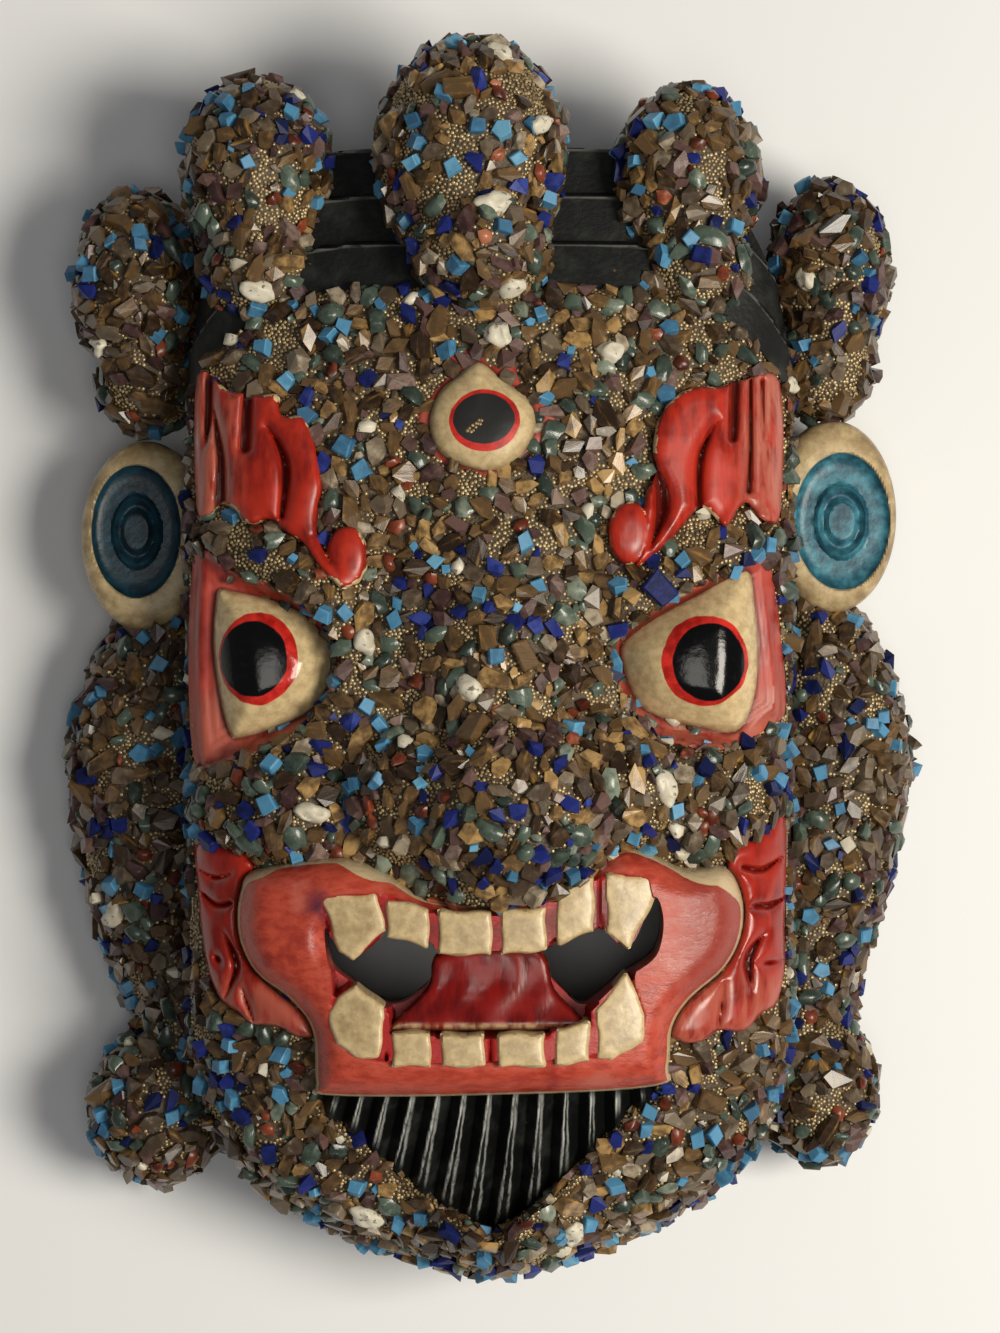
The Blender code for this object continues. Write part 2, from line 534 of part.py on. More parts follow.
def carving_sheet():
    """A flat sheet of squares over the mask's plan, its edge drawn onto the outline."""
    sheet = bmesh.new()
    half_x, half_y = (HIGH - LOW) / 2 + CARVING_STEP
    middle_x, middle_y = (HIGH + LOW) / 2
    place = Matrix.Translation((middle_x, middle_y, 0)) @ Matrix.Diagonal((half_x, half_y, 1, 1))
    columns, rows = round(2 * half_x / CARVING_STEP), round(2 * half_y / CARVING_STEP)
    bmesh.ops.create_grid(sheet, x_segments=columns, y_segments=rows, size=1, matrix=place)
    centres = np.array([face.calc_center_median()[:2] for face in sheet.faces])
    outside = plan_depth(centres[:, 0], centres[:, 1]) <= 0
    faces = [face for face, out in zip(sheet.faces, outside) if out]
    bmesh.ops.delete(sheet, geom=faces, context="FACES")
    while pinches := [vertex for vertex in sheet.verts if not vertex.is_manifold]:
        faces = list({face for vertex in pinches for face in vertex.link_faces})
        bmesh.ops.delete(sheet, geom=faces, context="FACES")

    edge = [vertex for vertex in sheet.verts if vertex.is_boundary]
    places = np.array([vertex.co[:2] for vertex in edge])
    x, y = snapped(places[:, 0], places[:, 1], plan_depth, 2 * CARVING_STEP)
    for vertex, *place in zip(edge, x, y):
        vertex.co.xy = place
    inner = [vertex for vertex in sheet.verts if not vertex.is_boundary]
    places = np.array([vertex.co[:2] for vertex in inner])
    x, y = snapped(places[:, 0], places[:, 1], head_depth, SNAP_SHARE * CARVING_STEP)
    for vertex, *place in zip(inner, x, y):
        vertex.co.xy = place
    return sheet


def carve_mask():
    """The whole carving as one closed solid, thinned to few triangles."""
    solid = carving_sheet()
    back = list(solid.verts)
    front = bmesh.ops.extrude_face_region(solid, geom=list(solid.faces))["geom"]
    front = [item for item in front if isinstance(item, bmesh.types.BMVert)]
    for vertices, is_front in ((front, True), (back, False)):
        places = np.array([vertex.co[:2] for vertex in vertices])
        x, y = places[:, 0], places[:, 1]
        z = front_height(x, y)
        if not is_front:
            z = back_height(x, y, z)
        for vertex, *place in zip(vertices, x * WIDER, y * TALLER, z):
            vertex.co = Vector(place) * MM
    bmesh.ops.recalc_face_normals(solid, faces=list(solid.faces))
    bmesh.ops.triangulate(solid, faces=list(solid.faces))
    triangles = len(solid.faces)
    mask = add_object("carved_mask", solid, "wood", WOOD_ROUGHNESS)
    thinning = mask.modifiers.new("thinning", "DECIMATE")
    thinning.ratio = MASK_TRIANGLES / triangles
    return mask


# Set stones

def stone_shape(kind, length, width, dice):
    """A rough cut block, a tumbled chip or a smooth nugget, about its own middle."""
    stone = bmesh.new()
    if kind in CUT_STONES:
        bmesh.ops.create_cube(stone, size=2)
        bmesh.ops.triangulate(stone, faces=list(stone.faces))
    else:
        bmesh.ops.create_icosphere(stone, subdivisions=2 if kind == "howlite" else 1, radius=1)
    for vertex in stone.verts:
        vertex.co *= 1 + dice.uniform(-STONE_ROUGHENING, STONE_ROUGHENING)
        vertex.co.x *= length / 2
        vertex.co.y *= width / 2
        vertex.co.z *= STONE_THICKNESS / 2
    return stone


def surface_under(mask_tree, x, y):
    """Where a stone meets the crust, and the direction that the crust faces there."""
    reach = SLOPE_REACH * MM
    hits = []
    for dx, dy in ((0, 0), (reach, 0), (-reach, 0), (0, reach), (0, -reach)):
        start = Vector((x + dx, y + dy, MASK_DEPTH * 2 * MM))
        hits.append(mask_tree.ray_cast(start, Vector((0, 0, -1)))[0])
    if None in hits:
        return hits[0], Vector((0, 0, 1))
    normal = (hits[1] - hits[2]).cross(hits[3] - hits[4])
    return hits[0], normal.normalized()


def set_down(stone, mask_tree, up):
    """Raise a stone out of the crust along a direction until it is one gap clear of it."""
    while BVHTree.FromBMesh(stone).overlap(mask_tree):
        bmesh.ops.translate(stone, verts=stone.verts, vec=up * STONE_GAP / 2 * MM)
    bmesh.ops.translate(stone, verts=stone.verts, vec=up * STONE_GAP * MM)


def set_stones(mask):
    graph = bpy.context.evaluated_depsgraph_get()
    mask_tree = BVHTree.FromObject(mask, graph)
    dice = random.Random(STONE_SEED)
    counts = {}
    stones = []
    for kind, x, y, length, width, turn in BIG_STONES:
        place, up = surface_under(mask_tree, x * WIDER * MM, y * TALLER * MM)
        stone = stone_shape(kind, length, width, dice)
        facing = up.to_track_quat("Z", "Y").to_matrix().to_4x4()
        turned = facing @ Matrix.Rotation(math.radians(turn), 4, "Z") @ Matrix.Scale(MM, 4)
        bmesh.ops.transform(stone, matrix=Matrix.Translation(place) @ turned, verts=stone.verts)
        set_down(stone, mask_tree, up)
        counts[kind] = counts.get(kind, 0) + 1
        name = f"{STONE_NAMES[kind]}_{counts[kind]:02d}"
        stones.append(add_object(name, stone, kind, STONE_ROUGHNESS))
    return stones


# Objects

def clear_scene():
    for old in list(bpy.data.objects):
        bpy.data.objects.remove(old, do_unlink=True)


def material(kind, roughness):
    made = bpy.data.materials.get(kind) or bpy.data.materials.new(kind)
    made.use_nodes = True
    shader = made.node_tree.nodes["Principled BSDF"]
    shader.inputs["Base Color"].default_value = (*COLOURS[kind], 1.0)
    shader.inputs["Roughness"].default_value = roughness
    shader.inputs["Metallic"].default_value = 0.0
    return made


def add_object(name, shape, kind, roughness):
    mesh = bpy.data.meshes.new(name)
    shape.to_mesh(mesh)
    shape.free()
    mesh.shade_smooth()
    mesh.set_sharp_from_angle(angle=math.radians(SMOOTH_BELOW))
    mesh.materials.append(material(kind, roughness))
    added = bpy.data.objects.new(name, mesh)
    bpy.context.scene.collection.objects.link(added)
    return added


def centre_on_origin(pieces):
    """Hang the pieces from an empty that puts the middle of their box over the origin."""
    bpy.context.view_layer.update()
    graph = bpy.context.evaluated_depsgraph_get()
    corners = np.array([v.co for p in pieces for v in p.evaluated_get(graph).data.vertices])
    middle = (corners.min(axis=0) + corners.max(axis=0)) / 2
    frame = bpy.data.objects.new("mask_frame", None)
    frame.location = (-middle[0], -middle[1], 0)
    bpy.context.scene.collection.objects.link(frame)
    for piece in pieces:
        piece.parent = frame


LOW, HIGH = laid_out_corners()
WIDER = MASK_WIDTH / (HIGH[0] - LOW[0])
TALLER = MASK_HEIGHT / (HIGH[1] - LOW[1])
DEEPER = (MASK_DEPTH - CRUST) / max(top for *_, top in NOSE)

clear_scene()
carved_mask = carve_mask()
centre_on_origin([carved_mask, *set_stones(carved_mask)])
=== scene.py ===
"""The looks of a carved, painted and stone-set mask of a wrathful guardian, lying on its back.

The wood under the crust, the painted forms, the set stones and the brass beads are meshes. They are
worked out here in millimetres, in the layout of the solid mask, and written in metres.
"""

import math

import bmesh
import bpy
import numpy as np
from mathutils import Matrix, Vector, noise
from mathutils.bvhtree import BVHTree
from mathutils.kdtree import KDTree


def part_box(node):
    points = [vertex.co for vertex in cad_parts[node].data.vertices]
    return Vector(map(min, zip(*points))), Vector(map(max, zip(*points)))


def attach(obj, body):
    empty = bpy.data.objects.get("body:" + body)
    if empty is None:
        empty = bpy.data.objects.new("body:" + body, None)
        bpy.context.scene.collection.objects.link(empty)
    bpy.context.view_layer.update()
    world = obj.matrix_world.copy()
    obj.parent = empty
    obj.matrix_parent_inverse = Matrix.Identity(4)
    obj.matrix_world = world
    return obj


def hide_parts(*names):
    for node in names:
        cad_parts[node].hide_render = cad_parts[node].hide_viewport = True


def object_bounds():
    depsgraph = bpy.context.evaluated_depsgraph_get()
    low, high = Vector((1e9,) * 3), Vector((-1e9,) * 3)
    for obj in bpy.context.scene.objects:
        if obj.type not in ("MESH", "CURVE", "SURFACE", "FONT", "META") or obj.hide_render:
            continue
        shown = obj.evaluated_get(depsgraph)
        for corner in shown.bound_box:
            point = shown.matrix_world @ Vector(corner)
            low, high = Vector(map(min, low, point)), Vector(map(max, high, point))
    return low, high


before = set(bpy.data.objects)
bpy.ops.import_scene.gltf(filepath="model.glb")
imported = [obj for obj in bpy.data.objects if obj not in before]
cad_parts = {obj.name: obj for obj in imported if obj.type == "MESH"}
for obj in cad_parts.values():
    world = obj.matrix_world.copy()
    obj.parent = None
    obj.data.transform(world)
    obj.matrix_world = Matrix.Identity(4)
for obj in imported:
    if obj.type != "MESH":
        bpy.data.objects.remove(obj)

cad_box = [list(corner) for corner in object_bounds()]

MM = 0.001

# Layout of the solid mask, in millimetres
WALL, RIM_WIDTH, EDGE_THICKNESS = 13.0, 15.0, 4.0
# How far off depths are told, how near an edge a form counts, and how points are drawn to lines
FAR, EDGE_REACH, SNAP, SNAP_SHARE, CREASE_SHARE, FLATTEST = 40.0, 0.5, 0.05, 0.45, 0.53, 0.2

HALF_WIDTH = [
    (-184, 0), (-183, 14), (-180, 27), (-176, 38), (-170, 50), (-158, 68), (-143, 80),
    (-125, 86), (-100, 88.5), (60, 88.5), (90, 86.5), (110, 82), (125, 75), (135, 67),
    (142, 57), (146, 45), (147, 28), (147.2, 0),
]
MIDDLE_HEIGHT = [
    (-184, 34), (-176, 50), (-165, 63), (-150, 74), (-128, 83), (-100, 87), (-40, 88),
    (20, 88), (60, 85), (90, 80), (103, 76), (117, 66), (134, 56), (147, 48),
]
SIDE_HEIGHT = [(-184, 26), (-150, 40), (-100, 50), (0, 52), (80, 50), (120, 46), (147, 42)]
VAULT_POWER = 2.9
HOLLOW_DEPTH, HOLLOW_ROUNDING = 74.0, 55.0

BAND_EDGE, BAND_SIDE_DROP, BAND_REACH = 103.0, 23.0, 83.0
BAND_LIMIT, BAND_POWER, BAND_OVERHANG = 1.05, 5, 1.0
TIER_HEIGHT, TIER_FLATNESS, TIER_RETURN, BAND_RISE = 14.8, 0.7, 0.07, 3.0
BAND_BOX, BAND_BACK, BAND_WALL = ((-90, 75), (90, 149)), 1.5, 0.6
# Where along each tier the lighter line of wear and painted highlight lies, and its width
WEAR_AND_HIGHLIGHT_PLACE, WEAR_AND_HIGHLIGHT_WIDTH = 0.97, 0.10

CROWN_KNOBS = [
    [(-5.5, 141.0, 28.3, 36.6, 67, 30), (-2.5, 114, 22, 18, 76, 24)],
    [(-68.0, 138.0, 22.6, 30.0, 54, 25), (-66.5, 109, 18.5, 17, 58, 23)],
    [(57.5, 136.0, 22.0, 29.8, 54, 25), (59.5, 109, 18.5, 17, 58, 23)],
    [(-105.0, 108.0, 19.4, 29.5, 34, 21), (-101.5, 80, 16.0, 17, 33, 18)],
    [(100.5, 111.0, 19.0, 29.3, 34, 21), (98.5, 85, 16.5, 18, 33, 18)],
]
LOCK_KNOBS = [[(-99.0, -137.0, 21.8, 24.0, 25, 22)], [(98.0, -131.0, 18.5, 24.0, 25, 21)]]
CHIP_ROOM = 2.1
KNOB_BLEND, KNOB_SEAT = 12.0, 2.0
CROWN_FORMS, LOCK_FORMS = [
    [[(cx, cy, wide - CHIP_ROOM, long - CHIP_ROOM, middle, deep - CHIP_ROOM)
      for cx, cy, wide, long, middle, deep in knob] for knob in knobs]
    for knobs in (CROWN_KNOBS, LOCK_KNOBS)
]
KNOBS = [*CROWN_FORMS, *LOCK_FORMS]

EARS = [
    ((-102.5, 33.4, 19.4, 28.4), (-105.0, 34.8, 13.4, 19.8)),
    ((102.0, 39.4, 19.0, 28.6), (104.4, 37.8, 14.4, 20.4)),
]
EAR_HEIGHT, EAR_BACK, EAR_ROUNDING = 38.0, 12.0, 6.0
DISH_DEPTH, DISH_RIM, BOSS_RISE = 3.4, 0.25, 2.0
BOSS_START, BOSS_RIM, BOSS_GROOVE = 0.44, 0.12, 0.62

LOCKS = [
    [(-84, 10), (-112, 8), (-123, -12), (-127.6, -34), (-124, -62), (-117.5, -88),
     (-108.5, -110), (-104, -128), (-84, -140), (-76, -120)],
    [(84, 14), (110, 12), (120.5, -5), (127.4, -30), (125, -50), (121, -70), (113.5, -93),
     (110.5, -108), (104, -125), (84, -138), (76, -120)],
]
LOCK_HEIGHT, LOCK_EDGE, LOCK_ROUNDING, LOCK_UNDERCUT = 40.0, 17.0, 20.0, 9.0

NOSE = [(-19.0, -43.0, 20, 20, 104), (33.0, -40.0, 19, 20, 104), (6.5, -46.0, 29, 27, 119)]
NOSE_BLEND = 9.0
BRIDGE_RISE = [(-60, 16), (-30, 15), (0, 10), (25, 6), (50, 2), (75, 0)]
BRIDGE_MIDDLE, BRIDGE_WIDTH = 2.5, 30.0
CHEEKS, CHEEK_POWER = [(-64.0, -45.5, 25, 17, 9), (64.0, -43.5, 25, 17, 9)], 1.5
BROW_BONES = [[(-84, 32), (-62, 25), (-44, 12)], [(84, 32), (62, 26), (42, 12)]]
BONE_WIDTH, BONE_RISE = 12.0, 5.0

LIDS = [
    [(-86, 25), (-72, 21.5), (-58, 16.5), (-47, 8), (-42, -3.5), (-47, -17), (-60, -27),
     (-72, -31), (-86, -31.5)],
    [(80, 25), (71, 23.5), (58, 18), (47.6, 12), (38.6, 5.7), (33.5, 0), (37, -12),
     (46, -25.5), (58, -28.5), (69, -28.5), (80, -22.5), (85.5, -18), (84.5, 0)],
]
EYEBALLS = [
    [(-77.8, 16.8), (-74, 16.4), (-61.7, 13.5), (-52.8, 9.2), (-43.6, -1.3), (-45, -10),
     (-50.2, -18), (-61.6, -22.8), (-71.2, -25.6), (-74.4, -25), (-77.2, -16), (-79.4, 0),
     (-78.8, 13)],
    [(37.4, 0), (44, 7.4), (58, 14.9), (73, 23), (76, 12), (77, -2), (75.5, -15.5),
     (70.2, -24), (58, -22.3), (47.5, -19.3), (40.5, -13.6)],
]
LID_DEPTH = 5.0
EYE_BULGE, EYE_ROUNDING, EYE_REACH, EYE_TURN, EYE_CREASE = 8.5, 12.0, 34.0, 0.3, 20.0
THIRD_EYE = [
    (-3.3, 81.6), (-9.4, 77.4), (-14.5, 72.5), (-17.2, 64.5), (-15.5, 57), (-8.5, 52), (1.9, 50.3),
    (9.3, 55), (13.2, 63), (10.8, 71), (3.6, 76.4),
]
EYE_RINGS = [(-66.1, -3.1, 11.5, 13.2), (61.3, -3.7, 12.5, 12.9)]
PUPILS = [(-67.4, -3.1, 9.7, 10.9), (62.4, -4.0, 10.3, 11.2)]
STRAY_BEADS = [
    (-5.7, 62.0), (-4.8, 62.8), (-3.9, 62.3), (-3.3, 63.3), (-2.3, 64.2), (-4.6, 61.4),
    (-5.2, 61.0), (-3.8, 63.4), (-2.7, 63.2), (-6.3, 61.3), (-3.0, 64.3),
]
THIRD_RING = (-1.4, 64.4, 10.0, 8.9)
THIRD_PUPIL = (-1.6, 64.9, 8.7, 7.3)
THIRD_FLAME = [
    (-20.5, 66), (-19, 60), (-13.5, 52.8), (-4, 50), (2.5, 47.8), (9, 53), (14, 57), (18, 61.5),
    (17.6, 68.5), (12, 71.5), (8.5, 76), (6, 83), (1, 80), (-4, 84.8), (-13, 84.4), (-10.5, 79.5),
    (-16, 73),
]
THIRD_RISE, THIRD_ROUNDING = 6.0, 12.0

BROWS = [
    [(-85, 79), (-75.8, 74.5), (-66.9, 72.5), (-60.9, 72.4), (-59.2, 66.4), (-53.4, 65.9),
     (-50.3, 59.6), (-48.6, 53), (-47.6, 46), (-49, 38), (-48.4, 30.5), (-45.6, 26.5), (-41, 22.5),
     (-43, 18.6), (-48, 22.6), (-53, 29.5), (-58.1, 32.9), (-62.5, 36.6), (-68.6, 35.4),
     (-74.1, 40.5), (-77.5, 41), (-81, 38), (-85, 42)],
    [(84, 77), (72.3, 77), (66, 75), (58, 74.5), (52, 71), (48, 65), (46.3, 56), (47.4, 50),
     (44.4, 44), (43, 36), (42, 28), (41.5, 23), (46, 26), (53.4, 33), (60, 40), (64, 37),
     (67.5, 34.5), (73, 41.5), (78, 36.5), (84, 40)],
]
CURLS = [(-40.6, 25.8, 5.9, 8.8), (39.8, 32.6, 6.3, 9.0)]
# Points of each fold, with its half width there, which is below nought where the fold fades
BROW_FOLDS = [
    [(-80.9, 79, 1.0), (-81.1, 70.4, 1.0), (-81.4, 63.7, 0.6), (-81.7, 58.5, -0.5)],
    [(-79.6, 70, -0.4), (-78.2, 60.5, 0.7), (-77.2, 53.5, 1.0), (-77.4, 42.7, 1.5),
     (-77.6, 37, 1.6)],
    [(-69.2, 75.5, 1.1), (-69.8, 63.7, 1.4), (-70.1, 57.4, 1.3)],
    [(-63.6, 63, -0.6), (-60.1, 57.6, 0.5), (-58.3, 51.5, 1.0), (-58.3, 44.7, 0.9),
     (-59.2, 37.5, 0.5)],
    [(-48.4, 32, 0.6), (-46.6, 27.5, 0.3), (-45.2, 24.4, -0.4)],
    [(64.9, 64.8, -0.5), (61.2, 57.9, 0.4), (59.9, 53.1, 0.8), (59.5, 46.9, 0.7), (59.7, 40, 0.5)],
    [(70.3, 77, 1.0), (69.9, 65.3, 1.0), (69.6, 60, 0.8)],
    [(74.9, 77, 0.3), (74.8, 68.3, 0.3), (74.7, 56.1, 0.4), (74.1, 45, 0.6)],
    [(78.3, 77, 0.2), (78.4, 68, 0.1), (78.5, 60, -0.6)],
    [(46.6, 52, 0.2), (48.5, 46, 1.3), (49, 40.2, 1.6), (47.7, 34.1, 0.8), (45.6, 28.8, -0.2)],
]
BROW_BASE, BROW_RISE, BROW_ROUNDING = 2.6, (1.1, 3.2), (0.8, 4.6)
# How deep and over what reach the folds are cut, and the offset and softness of the painted shade
# along them
FOLD_CUT, FOLD_REACH, FOLD_SHADE, FOLD_SOFTNESS = 1.6, 1.6, 0.35, 0.9
RAGGED, RAGGED_LENGTH, RAGGED_DRIFT = 0.35, 1.15, 3
SIDE_TURN, SIDE_TURN_WIDTH = 80.0, 4

LIPS = [
    (-66.5, -63), (-71.5, -70), (-72, -82), (-67, -92.5), (-57, -100), (-50.5, -109),
    (-49.6, -124), (-46.8, -127.6), (0, -127.2), (47, -125), (51, -119), (52, -108),
    (57, -100), (67, -91.5), (72, -82), (72.2, -71), (67, -62.5), (55, -62.5), (46, -58.5),
    (38, -56.5), (30, -61), (22, -68), (0, -72), (-18, -70.5), (-30, -63.5), (-43, -59.5),
]
OPEN_MOUTH = [
    (-47.5, -69.5), (-30, -68), (-14, -73), (6, -73), (18, -68.5), (32, -62.5), (44.5, -63.5),
    (47.2, -69), (49.6, -77), (47.8, -86.2), (42.8, -91), (42.4, -95), (44, -100), (45, -106),
    (40, -112), (31, -116.5), (2, -118), (-28, -118), (-40, -113.5), (-46.5, -106),
    (-45.5, -97), (-46.2, -89), (-47, -79),
]
MOUTH_GAPS = [
    [(-46.4, -79), (-45.5, -89), (-41, -94), (-28.5, -101.5), (-18.5, -96.5), (-14.2, -88.5),
     (-15, -84.5), (-28, -79), (-31, -82), (-38, -87.5), (-43.5, -83)],
    [(13.5, -86.5), (30, -79.5), (34, -81), (38.4, -85), (42, -80), (46.5, -70), (49, -77),
     (47, -86.5), (40, -91.8), (36.5, -94), (27, -101.5), (20.5, -97), (16, -92)],
]
LIP_RISE, LIP_ROUNDING = 13.5, 9.0
LEFT_CORNER, CORNER_FALL, CORNER_WIDTH = (-41.5, -82.0, 9.6, 10.5), 5.0, 8.0
RIM_PATCHES = [(65.0, -62.0, 14.0, 5.5), (-34.0, -60.0, 10.0, 4.0), (-66.0, -64.0, 7.0, 1.5)]
MOUTH_FLOOR, MOUTH_MARGIN, MOUTH_SLOPE, MOUTH_LEVEL = 84.0, 1.5, 0.16, -88.0
TONGUE = [
    (-13.5, -86), (13, -85), (18.5, -97), (27.5, -106.4), (24, -107.6), (0, -107.9),
    (-25, -108), (-28, -107), (-17.5, -96),
]
TONGUE_HEIGHT = [(-108, 93.5), (-97, 91), (-84, 90)]
TONGUE_MIDDLE, TONGUE_CROWN, TONGUE_HALF_WIDTH = -2.0, 0.9, 22.0
TEETH = [
    [(-46.9, -70.5), (-32, -69.2), (-29.8, -79.5), (-38.9, -87.2), (-42, -85.4)],
    [(-28.4, -71), (-17.5, -73.5), (-17.5, -83.6), (-28.4, -80.5)],
    [(-13.8, -74.2), (0.2, -74.6), (0.2, -85.6), (-13.8, -85.6)],
    [(3.8, -74.4), (15.4, -73), (15.4, -84.4), (3.8, -85.6)],
    [(19.2, -69.5), (28.9, -64.8), (28.9, -79.2), (19.2, -82.8)],
    [(33, -64), (45.4, -64.6), (47, -69), (38.8, -84), (33.6, -80)],
    [(-37.4, -95.5), (-30.5, -101.5), (-29.8, -104.4), (-31.5, -114.9), (-37.9, -114.4),
     (-42.9, -111.4), (-44.9, -102.5), (-42.9, -99.2)],
    [(-26.8, -108.4), (-17, -108.6), (-17, -117), (-26.8, -117)],
    [(-13, -109), (-1.8, -109.1), (-2, -117), (-13, -117)],
    [(2.8, -109), (15, -108.6), (15, -117), (2.8, -117)],
    [(19, -107.4), (27.6, -105.6), (27.6, -115.8), (19, -116.6)],
    [(38.7, -92), (43.8, -103.5), (42.5, -110.3), (34.6, -115.6), (31, -114.5), (30.4, -101.6)],
]
TOOTH_HEIGHT, TOOTH_ROUNDING, TOOTH_EDGE, TOOTH_ARCH = 102.6, 1.1, 0.9, 0.0022
TOOTH_GROWTH, GUM_DROP, GUM_REACH, GUM_SLOPE = 0.6, 1.3, 2.3, 1.0
TOOTH_WOBBLE, WOBBLE_LENGTH = 0.35, 1.9
SIDE_FLAMES = [
    [(-84.5, -56), (-68, -60), (-70.5, -72), (-70.5, -84), (-65.5, -94), (-55.5, -102),
     (-48.5, -109.5), (-54.5, -110.8), (-61, -108), (-68, -107.6), (-72, -104.5),
     (-77.5, -100.8), (-81.5, -92), (-83.5, -80), (-84.5, -68)],
    [(85.5, -49), (78, -53), (68, -59), (71, -72), (71, -84), (66, -93), (56, -100.5),
     (50.5, -108), (55, -112.4), (60.8, -112.2), (65.4, -109.4), (73, -109.8), (78.4, -105),
     (83, -102.5), (85.5, -92), (85.5, -78)],
]
FLAME_FOLDS = [
    [(-84, -69.5, -0.4), (-82.3, -71.2, 0.1), (-78.5, -73.9, 0.3), (-74.2, -73, 0.2)],
    [(-83.5, -64, -0.3), (-79, -66, 0.1), (-74, -64.5, -0.3)],
    [(-76.5, -81.5, -0.6), (-74, -86.2, 0.5), (-72.6, -91.1, 0.7), (-74.2, -96.4, 0.2),
     (-76.4, -101, -0.5)],
    [(-79, -88.4, -0.2), (-78.2, -89.4, 0.4), (-77.4, -90.6, -0.2)],
    [(-71, -97, -0.6), (-69.5, -101.4, 0.1), (-67.4, -107, -0.2)],
    [(72.3, -62.6, 0.2), (77.7, -63.7, 0.5), (82.7, -61.2, 0.1), (85.2, -59, -0.5)],
    [(73.6, -74.4, -0.4), (77, -74, 0.3), (80.6, -74, 0.5), (85, -72.2, 0.1)],
    [(78.8, -82, -0.5), (75.6, -86, 0.7), (74, -90.2, 1.0), (74.7, -95.4, 0.2), (75, -98.4, -0.7)],
    [(76.4, -90, -0.5), (80, -90.6, 0.1), (84.8, -90.2, -0.1)],
    [(66.8, -95.6, -0.7), (66.2, -102, 0.0), (65, -109.4, -0.2)],
]
FLAME_BASE, FLAME_RISE, FLAME_ROUNDING = 1.6, (0.9, 3.0), (0.8, 4.4)
LIP_SEAM = -0.2
BEARD = [
    (-46, -126), (46, -125), (38, -134.5), (26, -148.5), (13.5, -161), (2, -169.5),
    (-1, -169.5), (-14, -161.5), (-27, -150.5), (-36, -142),
]
BEARD_TOP, BEARD_DEPTH, BEARD_PITCH, BEARD_RIDGE = -128.0, 4.5, 7.3, 4.6
BEARD_SLANT, BEARD_SPLAY, CREST_WIDTH = 0.115, 0.0040, 0.7
STRAND_GAP, STRAND_SPLAY = 0.045, 0.0032
CHIN_ROLL_WIDTH, CHIN_ROLL_RISE, CHIN_ROLL_TOP, CHIN_ROLL_FADE = 12.0, 4.0, -128.0, 12.0

# The crust: paste over the wood, chips of stone in sizes, and beads between them
GROUND_STEP = 1.9
PASTE, SEAT, SKIRT, PASTE_LAP, BODY_SHARPNESS = 0.5, 1.0, 1.0, 1, 50
WALL_FOOT, WALL_INSET, WALL_DROP, GAP_MARGIN = 5.0, 0.97, 7.0, 0.4
# Facings that carry the crust on the face and beyond it, and how near it comes to gap and paint
FRONT_FACING, SIDE_FACING, BEYOND_HEAD, GAP_ROOM, PAINT_LAP = -0.3, -0.8, -1, -2, 0.3
CHIP_CANDIDATES, BEAD_CANDIDATES = 130000, 900000
CHIP_SIZES = [(3.0, 260), (2.5, 1300), (2.0, 2800), (1.5, 2600), (1.1, 2200)]
CHIP_SPREAD, CHIP_SINK, CHIP_LIFT = (1.42, 1.75), 0.5, 0.7
FLOOR_GAP, FLOOR_SHARE = 0.5, 2.2
# Painted shade on the chips: how much darker their tones grow towards the sides, from where, and
# over what width
SIDE_PAINTED_SHADE, SIDE_SHADE_START, SIDE_SHADE_WIDTH = 0.45, 62.0, 70.0
CHIP_TILT, STEEP_TILT, STEEP_SHARE = 0.18, 0.85, 0.055
KIND_CLUSTERS, CLUSTER_SIZE = 2.6, 8.0
BEAD_RADIUS, BEAD_SPACING, BEAD_COUNT, BEAD_SPREAD = 0.54, 0.475, 29000, (0.85, 1.12)
BEAD_POLE, BEAD_LIFT, BEAD_SHARE = 0.95, 0.6, 0.3
BEAD_PARTS = {"crown": (70, 250), "brow": (0, 70), "face": (-75, 0), "chin": (-250, -75)}
STREAM_SIZE, STREAM_WIDTH = 30.0, 0.035
PATCH_SIZE, PATCH_LEVEL, PATCH_SHIFT = 10.0, 0.31, Vector((7, 3, 1))
LINING, EDGE_OVERLAP = (0.2, 2.8), 1.2
SEED = 11

# Photograph's view: from this height over this point of the layout, a frame this tall
CAMERA_X, CAMERA_Y, CAMERA_HEIGHT = 2.93, -5.28, 1200.0
FRAME_HEIGHT, FRAME_LEVEL = 391.1, 50.0


# Curves and distances

def curve_through(points, closed=True, per_span=5):
    """Points along a smooth curve through the given ones."""
    ends = np.array(points, float)
    count = len(ends)
    shares = np.linspace(0, 1, per_span, endpoint=False)[:, None]
    runs = []
    for i in range(count if closed else count - 1):
        places = [i - 1, i, i + 1, i + 2]
        places = [p % count if closed else min(max(p, 0), count - 1) for p in places]
        before, a, b, after = ends[places]
        runs.append(
            0.5 * (2 * a + (b - before) * shares
                   + (2 * before - 5 * a + 4 * b - after) * shares ** 2
                   + (3 * a - before - 3 * b + after) * shares ** 3)
        )
    return np.concatenate(runs if closed else [*runs, ends[-1:]])


def along(table, y):
    """A size that varies smoothly along Y, read off a table of (y, size)."""
    line = curve_through(table, closed=False)
    return np.interp(y, line[:, 0], line[:, 1])


def distance_to_piece(x, y, a, b):
    """Distance from each point to a straight piece, and how far along it the nearest place is."""
    ux, uy = b[0] - a[0], b[1] - a[1]
    share = ((x - a[0]) * ux + (y - a[1]) * uy) / max(ux * ux + uy * uy, 1e-12)
    share = np.clip(share, 0, 1)
    return np.hypot(x - a[0] - share * ux, y - a[1] - share * uy), share


def distance_to_line(x, y, line, closed=False):
    """Distance from each point to a run of straight pieces."""
    nearest = np.full(np.shape(x), FAR)
    for a, b in zip(line, np.roll(line, -1, axis=0) if closed else line[1:]):
        nearest = np.minimum(nearest, distance_to_piece(x, y, a, b)[0])
    return nearest


def near(x, y, line):
    """The points that lie no further than FAR from a line's box."""
    low, high = line.min(axis=0) - FAR, line.max(axis=0) + FAR
    return (x > low[0]) & (x < high[0]) & (y > low[1]) & (y < high[1])


